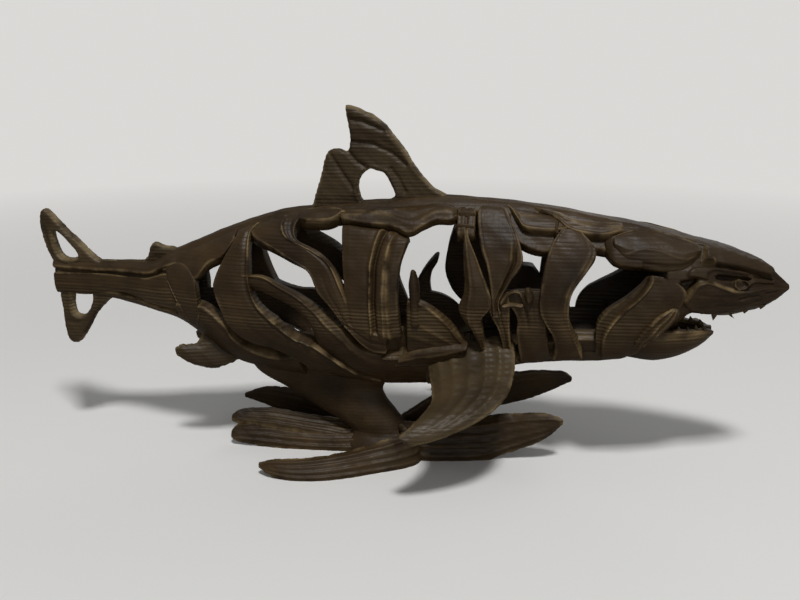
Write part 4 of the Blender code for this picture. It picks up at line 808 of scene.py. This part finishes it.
# Fins standing on the body, and the tail fin
backFin = dict(outline=[(-7.4, 69.8), (-6.8, 70.6), (-3.5, 69.6), (-0.4, 67.8), (1.9, 65.5), (4.4, 62.2),
                        (6.2, 59.4), (9.4, 55.6), (13.4, 53.0), (12.5, 49.6), (-1, 49), (-14.8, 48.2),
                        (-14.2, 51.6), (-12.3, 57.6), (-11.0, 61.5), (-8.8, 62.3), (-6.9, 61.9), (-6.6, 65)],
               holes=[[(-4.9, 55.2), (-4.1, 57.3), (-2.6, 58.4), (-1.2, 58.1), (0.3, 57.5), (1.4, 55.6),
                       (2.2, 53.0), (-1, 52.4), (-3.9, 52.2)]],
               lines=[([(-7.6, 68.2), (-4, 67.6), (0.2, 65.9)], 0.45, 0.4),
                      ([(-7.0, 63.8), (-2, 63.3), (1.6, 61.8), (4.6, 59.4)], 0.45, 0.4),
                      ([(-10.4, 61.3), (-8.2, 57.9), (-6.0, 54.6)], 0.4, 0.35),
                      ([(-6.8, 61.8), (-5.2, 59.9), (-2.6, 58.4)], 0.5, 0.4),
                      ([(1.6, 58.6), (3.2, 56.6), (4.4, 54.2)], 0.4, 0.4)],
               ridges=[([(-7, 66.4), (-2, 65.9), (2, 63.9)], 0.16, 0.7),
                       ([(-6.6, 69.6), (-1, 67.3), (3.2, 62.8), (7, 57.2)], 0.18, 0.6),
                       ([(-10.2, 60.6), (-12.6, 53)], 0.16, 0.7)], thick=2.4)
secondFin = dict(outline=[(-51.4, 37.4), (-49.9, 39.4), (-49.2, 41.6), (-47.9, 42.5), (-46.2, 42.0),
                          (-43.4, 41.4), (-41, 39.4), (-46, 36.6)], thick=2.0,
                 ridges=[([(-50, 39.6), (-47, 40.6), (-43, 40.4)], 0.2, 0.5)])
tailUpper = dict(outline=[(-57, 38.2), (-60.6, 38.4), (-66, 43.4), (-70.9, 48.4), (-72.1, 48.9),
                          (-73.0, 47.8), (-73.1, 44.4), (-72.3, 40.6), (-70.6, 36.9), (-69.4, 35.4),
                          (-66, 34.8), (-57, 34.6)],
                 holes=[[(-70.3, 43.8), (-69.0, 43.6), (-66.7, 41.3), (-65.4, 39.4), (-65.8, 38.7),
                         (-68.4, 38.7), (-69.7, 40.4)]], thick=2.4,
                 lines=[([(-72.4, 46.6), (-71.4, 41)], 0.2, 0.35)])
tailLower = dict(outline=[(-57, 35.4), (-69, 36.2), (-70.6, 35.6), (-70.4, 32), (-70.0, 27), (-69.9, 23.2),
                          (-69.2, 20.6), (-67.9, 19.6), (-66.4, 20.4), (-64.2, 23.4), (-62.2, 26.7),
                          (-58.4, 30.4), (-56, 31.4)],
                 holes=[[(-67.4, 29), (-66.9, 31.2), (-65.6, 32.0), (-63.6, 31.9), (-62.8, 30.9),
                         (-63.3, 28.6), (-65.0, 26.2), (-67.0, 26.4)]], thick=2.4,
                 lines=[([(-69.4, 24.6), (-66.2, 24.4), (-63.4, 27.6)], 0.2, 0.35)])

# Fins to the sides: the two pelvic fins, the two pectoral fins and the root they grow from
pelvicFin = dict(rows=[(-33.6, -2.0, 27, -27, -2.0, 20.2, 1), (-36.4, -2.8, 25.6, -30.4, -2.8, 18.6, 1),
                       (-38.4, -4.4, 22.8, -34.4, -4.4, 17.0, 1),
                       (-40.2, -5.4, 22.2, -38.0, -5.4, 17.6, 0.9),
                       (-41.7, -5.8, 22.2, -40.4, -5.8, 18.6, 0.85),
                       (-42.6, -6.1, 21.6, -42.2, -6.1, 19.9, 0.6)],
                 thick=2.4, crown=0.1, ridges=((0.3, 0.25, 0.5, ((0, 1), (1, 0))),), count=50, across=30,
                 edgeRough=0.22)
pectoralFin = dict(rows=[(26, -5.5, 27, 9.4, -5.5, 23, 1), (26.9, -9, 23.6, 10.2, -9, 20.4, 1),
                         (26.5, -14, 20.4, 11.4, -14, 18.8, 0.95), (25.0, -18, 18.4, 11.8, -18, 17.4, 0.9),
                         (21.2, -22, 16.2, 10.6, -22, 16.6, 0.8), (15.2, -25, 13.8, 8.9, -25, 15.4, 0.7),
                         (9.6, -26.8, 12.5, 6.9, -26.8, 14.0, 0.5)],
                   thick=2.1, crown=0.3, count=110, across=56, rough=0.05, edgeRough=0.08,
                   ridges=[(0.16, 0.35, 0.6, ((0, 1), (0.5, 0.6), (1, 0))),
                           (0.32, 0.45, 0.55, ((0, 1), (0.6, 0.5), (1, 0))),
                           (0.5, 0.35, 0.6, ((0, 1), (0.5, 0.7), (1, 0.2))),
                           (0.7, 0.4, 0.6, ((0, 1), (0.45, 0.4), (0.8, 0))),
                           (0.86, 0.3, 0.5, ((0, 1), (0.3, 0.4), (0.6, 0)))])
finRoot = dict(rows=[(9.6, -44, 9.6, -70), (14, -42, 14, -72), (20, -42, 20, -72), (26.6, -44, 26.6, -70)],
               lift=0.4, uneven=0.3)

# Stem and leaves of the base
stemLine = [(0.0, 0, 8.6, 6.5), (1.2, 0, 8.4, 6.3), (3.0, -0.4, 7.2, 4.1), (4.6, -1.4, 6.7, 3.5),
            (8, -5.6, 8.3, 3.3), (12.4, -10.8, 10.6, 3.3), (15.2, -12.7, 13.8, 3.7),
            (18.6, -12.5, 17.0, 4.1)]
leaves = {
    "front": [(3, -1, 5.6, 8, -3, -0.7, 1), (4.5, -6.6, 5.8, 7.4, -8.6, -0.7, 1),
              (-2.8, -11.2, 4.4, -0.5, -13.8, -0.7, 1), (-9.2, -14.4, 3.6, -8, -17.6, -0.7, 1),
              (-14.6, -16.0, 3.3, -14.6, -18.8, -0.6, 0.9), (-19.6, -16.6, 3.0, -19.6, -18.2, 0.2, 0.8),
              (-22.0, -16.9, 2.5, -22.0, -17.4, 1.4, 0.6)],
    "left": [(-2, 2, 4.4, -3, -4, -0.7, 1), (-9, 0.2, 3.4, -9.6, -4.4, -0.7, 1),
             (-17.6, -0.6, 3.8, -17.2, -4.8, -0.6, 1), (-25, -1.4, 5.0, -25, -4.8, 0.0, 0.9),
             (-30.6, -2.6, 4.2, -30.8, -4.6, 0.7, 0.8), (-32.2, -3.4, 3.0, -32.2, -4.2, 1.2, 0.6)],
    "leftTop": [(-6, 3, 3.6, -8, -3, 1.2, 1), (-16, 1.6, 5.0, -17, -3.2, 2.6, 1),
                (-24, 0.8, 6.4, -25, -3.4, 3.6, 1), (-30.2, -0.6, 6.6, -30.6, -3.2, 4.2, 0.8),
                (-32.4, -1.8, 5.8, -32.4, -3.0, 4.6, 0.6)],
    "backLeft": [(-3, 2, 4, -4, 5, -0.7, 1), (-10, 5.6, 4.8, -10.6, 8, -0.7, 1),
                 (-16.4, 8.8, 6.4, -17, 11, -0.7, 1), (-23, 10.8, 7.3, -22.8, 12.6, -0.5, 1),
                 (-29.6, 12, 6.8, -29.6, 12.8, 2.2, 0.9), (-34.4, 12.2, 5.0, -34.4, 12.4, 3.9, 0.6)],
    "right": [(3, 0.6, 5.6, 4, -4.8, -0.7, 1), (9, -1.6, 6.4, 9, -6.2, -0.7, 1),
              (15, -1.4, 7.2, 14.6, -5.6, -0.7, 1), (20.4, -1, 8.2, 20.4, -4.4, -0.6, 1),
              (26.4, -1, 9.3, 25.8, -3.2, 1.2, 0.9), (33.2, -2, 10.1, 33.4, -3, 4.9, 0.8),
              (36.5, -2.6, 9.4, 36.6, -3, 8.2, 0.6)],
    "backRight": [(1, 2, 4, 2, 5, -0.7, 1), (6, 4.4, 7.4, 7, 8, -0.7, 1),
                  (13, 6.6, 11.4, 14.4, 9.6, 2.4, 1), (21, 8.2, 13.8, 22.4, 10.8, 5.6, 1),
                  (29.4, 9.2, 15.0, 30.4, 11, 8.2, 0.9), (36.2, 9.8, 15.0, 36.4, 10.6, 11.4, 0.8),
                  (38.5, 10, 13.9, 38.5, 10.2, 12.7, 0.6)],
}
leafLook = dict(thick=2.0, crown=0.3, count=90, across=44, rough=0.08, edgeRough=0.14,
                ridges=[(0.2, 0.4, 0.35, ((0, 0.6), (0.2, 1), (0.85, 0.8), (1, 0))),
                        (0.42, 0.35, 0.3, ((0, 1), (0.6, 1), (0.9, 0))),
                        (0.62, 0.4, 0.35, ((0, 1), (0.4, 1), (0.8, 0.4), (1, 0))),
                        (0.84, 0.3, 0.3, ((0, 0.5), (0.3, 1), (0.8, 1), (1, 0)))])


class Value:
    # A number socket whose arithmetic makes Math nodes
    def __init__(self, paint, socket):
        self.paint, self.socket = paint, socket

    def maths(self, operation, a, b=0.0):
        return Value(self.paint, self.paint.node("ShaderNodeMath", {"operation": operation},
                                                 {0: a, 1: b}).outputs[0])

    def __add__(self, other):
        return self.maths("ADD", self, other)

    def __sub__(self, other):
        return self.maths("SUBTRACT", self, other)

    def __mul__(self, other):
        return self.maths("MULTIPLY", self, other)

    def __rsub__(self, other):
        return self.maths("SUBTRACT", other, self)

    def power(self, other):
        return self.maths("POWER", self, other)

    def sine(self):
        return self.maths("SINE", self)

    def clipped(self):
        return self.maths("MINIMUM", self.maths("MAXIMUM", self, 0.0), 1.0)

    __radd__, __rmul__ = __add__, __mul__


class Paint:
    # The nodes of one material
    def __init__(self, name):
        self.material = bpy.data.materials.new(name)
        self.material.use_nodes = True
        self.nodes = self.material.node_tree.nodes
        self.links = self.material.node_tree.links
        self.shader = self.nodes["Principled BSDF"]
        self.place = self.node("ShaderNodeTexCoord").outputs["Object"]

    def node(self, kind, settings=None, inputs=None):
        made = self.nodes.new(kind)
        for key, value in (settings or {}).items():
            setattr(made, key, value)
        for key, value in (inputs or {}).items():
            if isinstance(value, Value):
                self.links.new(value.socket, made.inputs[key])
            elif isinstance(value, bpy.types.NodeSocket):
                self.links.new(value, made.inputs[key])
            else:
                made.inputs[key].default_value = value
        return made

    def noise(self, scale, detail=2.0, stretch=None, rough=0.5):
        place = self.place
        if stretch:
            place = self.node("ShaderNodeVectorMath", {"operation": "MULTIPLY"},
                              {0: place, 1: stretch}).outputs[0]
        made = self.node("ShaderNodeTexNoise", {},
                         {"Vector": place, "Scale": scale, "Detail": detail, "Roughness": rough})
        return Value(self, made.outputs["Fac"])

    def mix(self, factor, first, second):
        made = self.node("ShaderNodeMix", {"data_type": "RGBA"}, {0: factor, 6: first, 7: second})
        return made.outputs[2]

    def feed(self, key, value):
        self.links.new(value.socket if isinstance(value, Value) else value, self.shader.inputs[key])


# Print lines stand out in a belt round the lower flank, at this height and as far above and below it;
# period is from line to line. All in metres
printLines = {"beltMiddle": 0.0305, "beltHalf": 0.0042, "period": 0.00072, "wander": 0.0003}


def printedPlastic(name, tone, lit, dark, depth, grain):
    # Dark plastic laid down in level lines. The bump is the wave (sin(2 pi z / period) / 2 + 1 / 2)^0.7,
    # shown by 1 - ((z - middle) / half)^2 in the belt, in patches elsewhere and everywhere by the
    # grain, with blotches and crumbs; broad darker areas, and a painted highlight in the lit colour on the
    # marked edges, broken into patches, on the print-line crests in the belt and in scattered specks
    paint = Paint(name)
    split = paint.node("ShaderNodeSeparateXYZ", {}, {0: paint.place})
    high = Value(paint, split.outputs["Z"])
    drift = paint.noise(60.0, 2.0)
    wave = ((high + drift * printLines["wander"]) * (6.2832 / printLines["period"])).sine() * 0.5 + 0.5
    perLine = paint.noise(1.0, 2.0, (60.0, 60.0, 0.9 / printLines["period"]))
    beltPlace = (high - printLines["beltMiddle"]) * (1 / printLines["beltHalf"])
    belt = (1.0 - beltPlace * beltPlace).clipped()
    patches = (paint.noise(75.0, 2.0) * 3.0 - 1.55).clipped()
    shown = (belt + patches * 0.8 + grain).clipped()
    blotch = paint.noise(320.0, 3.0)
    crumbs = paint.noise(1500.0, 2.0)
    ridges = wave.power(0.7) * (perLine * 1.6 - 0.3).clipped() * shown
    edge = Value(paint, paint.node("ShaderNodeAttribute", {"attribute_name": "edgeMark"}).outputs["Fac"])
    height = ridges + crumbs * 0.3 + blotch * 1.1 + edge * crumbs * 0.7
    bump = paint.node("ShaderNodeBump", {}, {"Height": height, "Distance": depth, "Strength": 0.9})
    paint.links.new(bump.outputs[0], paint.shader.inputs["Normal"])
    broad = paint.noise(90.0, 3.0)
    colour = paint.mix((broad * 2.6 - 0.85).clipped() * 0.9, tone, dark)
    # Painted highlight: the lit colour goes on the marked edges in patches, on the print-line crests in the
    # belt and in scattered specks
    highlightBreakup = (paint.noise(260.0, 3.0) * 4.4 - 1.75).clipped()
    paintedHighlight = (edge * highlightBreakup + ridges * belt * 0.3 + highlightBreakup * crumbs * 0.05).clipped()
    paint.feed("Base Color", paint.mix(paintedHighlight, colour, lit))
    paint.feed("Roughness", (0.3 + blotch * 0.2 + broad * 0.12 + edge * 0.05).clipped())
    paint.shader.inputs["Specular IOR Level"].default_value = 0.24
    paint.shader.inputs["IOR"].default_value = 1.46
    return paint.material


bodyTones = {"tone": (0.046, 0.0268, 0.0106, 1), "lit": (0.235, 0.165, 0.078, 1),
             "dark": (0.014, 0.0078, 0.0032, 1)}
finTones = {"tone": (0.060, 0.0405, 0.0190, 1), "lit": (0.21, 0.155, 0.078, 1),
            "dark": (0.020, 0.0122, 0.0056, 1)}
darkPlastic = printedPlastic("darkPlastic", depth=0.00015, grain=0.24, **bodyTones)
finPlastic = printedPlastic("finPlastic", depth=0.00017, grain=0.5, **finTones)
print("materials made")

makePiece("backAndKeel", [stripShell(**backAndKeel["ridge"]), stripShell(**backAndKeel["keel"])],
          darkPlastic)
makePiece("tailStock", flanks(tailStock) + bothSides(stockSideRows, stockSideFar, **stockSide) + [stockCore],
          darkPlastic)
makePiece("rearFlank", flanks(rearFlank), darkPlastic)
makePiece("middleFlank", flanks(middleFlank), darkPlastic)
makePiece("frontFlank", flanks(frontFlank), darkPlastic)
makePiece("cheekAndGill", flanks(headFlank), darkPlastic)
makePiece("head", [headShell()], darkPlastic)
makePiece("jawAndTeeth", [jawShell()] + teethShells(), darkPlastic)
makePiece("uprightFins", [finShell(**backFin), finShell(**secondFin), finShell(**tailUpper),
                          finShell(**tailLower)], finPlastic)
sideFins = [bladeShell(side=side, **fin) for side in (1, -1) for fin in (pelvicFin, pectoralFin)]
sideFins += bothSides(**finRoot)
makePiece("sideFins", sideFins, finPlastic)
turn = np.radians(np.arange(0, 360, 6))
stem = loftShell([np.stack([x + half * np.cos(turn), halfY * np.sin(turn), np.full(60, float(z))], -1)
                  for z, x, half, halfY in stemLine], 60, uneven=0.15)
base = [stem] + [bladeShell(rows, **leafLook) for rows in leaves.values()]
makePiece("stemAndLeaves", base, darkPlastic)

# Stage: pale floor, soft lamps over it, camera at the angle of the photograph. The camera sees the
# floor pale and, away from the shark, fading into the backdrop; to other rays it is duller
stageLook = {"floor": (0.80, 0.79, 0.77, 1), "bounce": (0.34, 0.31, 0.27, 1), "world": 0.2, "backdrop": 0.88,
             "fadeFrom": 0.13, "fadeOver": 0.3}
floorMesh = bpy.data.meshes.new("floor")
floorMesh.from_pydata([(-9, -9, 0), (9, -9, 0), (9, 9, 0), (-9, 9, 0)], [], [(0, 1, 2, 3)])
floor = bpy.data.objects.new("floor", floorMesh)
bpy.context.scene.collection.objects.link(floor)
floorPaint = Paint("floorPaint")
fromCamera = Value(floorPaint, floorPaint.node("ShaderNodeLightPath").outputs["Is Camera Ray"])
away = Value(floorPaint, floorPaint.node("ShaderNodeVectorMath", {"operation": "LENGTH"},
                                         {0: floorPaint.place}).outputs["Value"])
fade = ((away - stageLook["fadeFrom"]) * (1 / stageLook["fadeOver"])).clipped() * fromCamera
floorPaint.feed("Base Color", floorPaint.mix(fromCamera, stageLook["bounce"], stageLook["floor"]))
floorPaint.shader.inputs["Roughness"].default_value = 0.85
glow = floorPaint.node("ShaderNodeEmission", {},
                       {"Color": stageLook["floor"], "Strength": stageLook["backdrop"]})
blend = floorPaint.node("ShaderNodeMixShader", {}, {0: fade})
for start, end in ((floorPaint.shader.outputs[0], blend.inputs[1]), (glow.outputs[0], blend.inputs[2]),
                   (blend.outputs[0], floorPaint.nodes["Material Output"].inputs[0])):
    floorPaint.links.new(start, end)
floorMesh.materials.append(floorPaint.material)


def lamp(name, place, power, size):
    # Square area lamp that looks at the middle of the shark
    light = bpy.data.lights.new(name, "AREA")
    light.energy, light.size = power, size
    holder = bpy.data.objects.new(name, light)
    holder.location = place
    toward = np.array((0, 0, 0.03)) - np.array(place)
    flat = math.hypot(toward[0], toward[1])
    holder.rotation_euler = (math.pi / 2 - math.atan2(-toward[2], flat), 0,
                             math.atan2(toward[1], toward[0]) - math.pi / 2)
    bpy.context.scene.collection.objects.link(holder)


lamp("keyLamp", (0.12, -0.38, 0.80), 4.9, 0.13)
lamp("fillLamp", (0.35, -0.85, 0.22), 0.9, 0.5)
lamp("backLamp", (0.3, 0.8, 0.5), 0.8, 0.5)
world = bpy.data.worlds.new("studio")
world.use_nodes = True
world.node_tree.nodes["Background"].inputs[0].default_value = (0.98, 0.99, 1.0, 1)
world.node_tree.nodes["Background"].inputs[1].default_value = stageLook["world"]
seen = world.node_tree.nodes.new("ShaderNodeLightPath")
pale = world.node_tree.nodes.new("ShaderNodeBackground")
pale.inputs[0].default_value, pale.inputs[1].default_value = stageLook["floor"], stageLook["backdrop"]
either = world.node_tree.nodes.new("ShaderNodeMixShader")
for start, end in ((seen.outputs["Is Camera Ray"], either.inputs[0]),
                   (world.node_tree.nodes["Background"].outputs[0], either.inputs[1]),
                   (pale.outputs[0], either.inputs[2]),
                   (either.outputs[0], world.node_tree.nodes["World Output"].inputs[0])):
    world.node_tree.links.new(start, end)
bpy.context.scene.world = world
bpy.context.scene.view_settings.view_transform = "Standard"

# The camera stands away from the shark's middle along the floor, at a height; the lens is for a
# picture 800 across with a focal length of 885 of its points
view = {"middle": 0.00326, "away": 0.17265, "height": 0.0799, "azimuth": 8.6, "elevation": 15.5,
        "lens": 885 / 800 * 36}
camera = bpy.data.objects.new("camera", bpy.data.cameras.new("camera"))
camera.data.sensor_width, camera.data.lens, camera.data.clip_start = 36, view["lens"], 0.005
azimuth, elevation = math.radians(view["azimuth"]), math.radians(view["elevation"])
camera.location = (view["middle"] + view["away"] * math.sin(azimuth), -view["away"] * math.cos(azimuth),
                   view["height"])
camera.rotation_euler = (math.pi / 2 - elevation, 0, azimuth)
bpy.context.scene.collection.objects.link(camera)
bpy.context.scene.camera = camera
print("stage made")
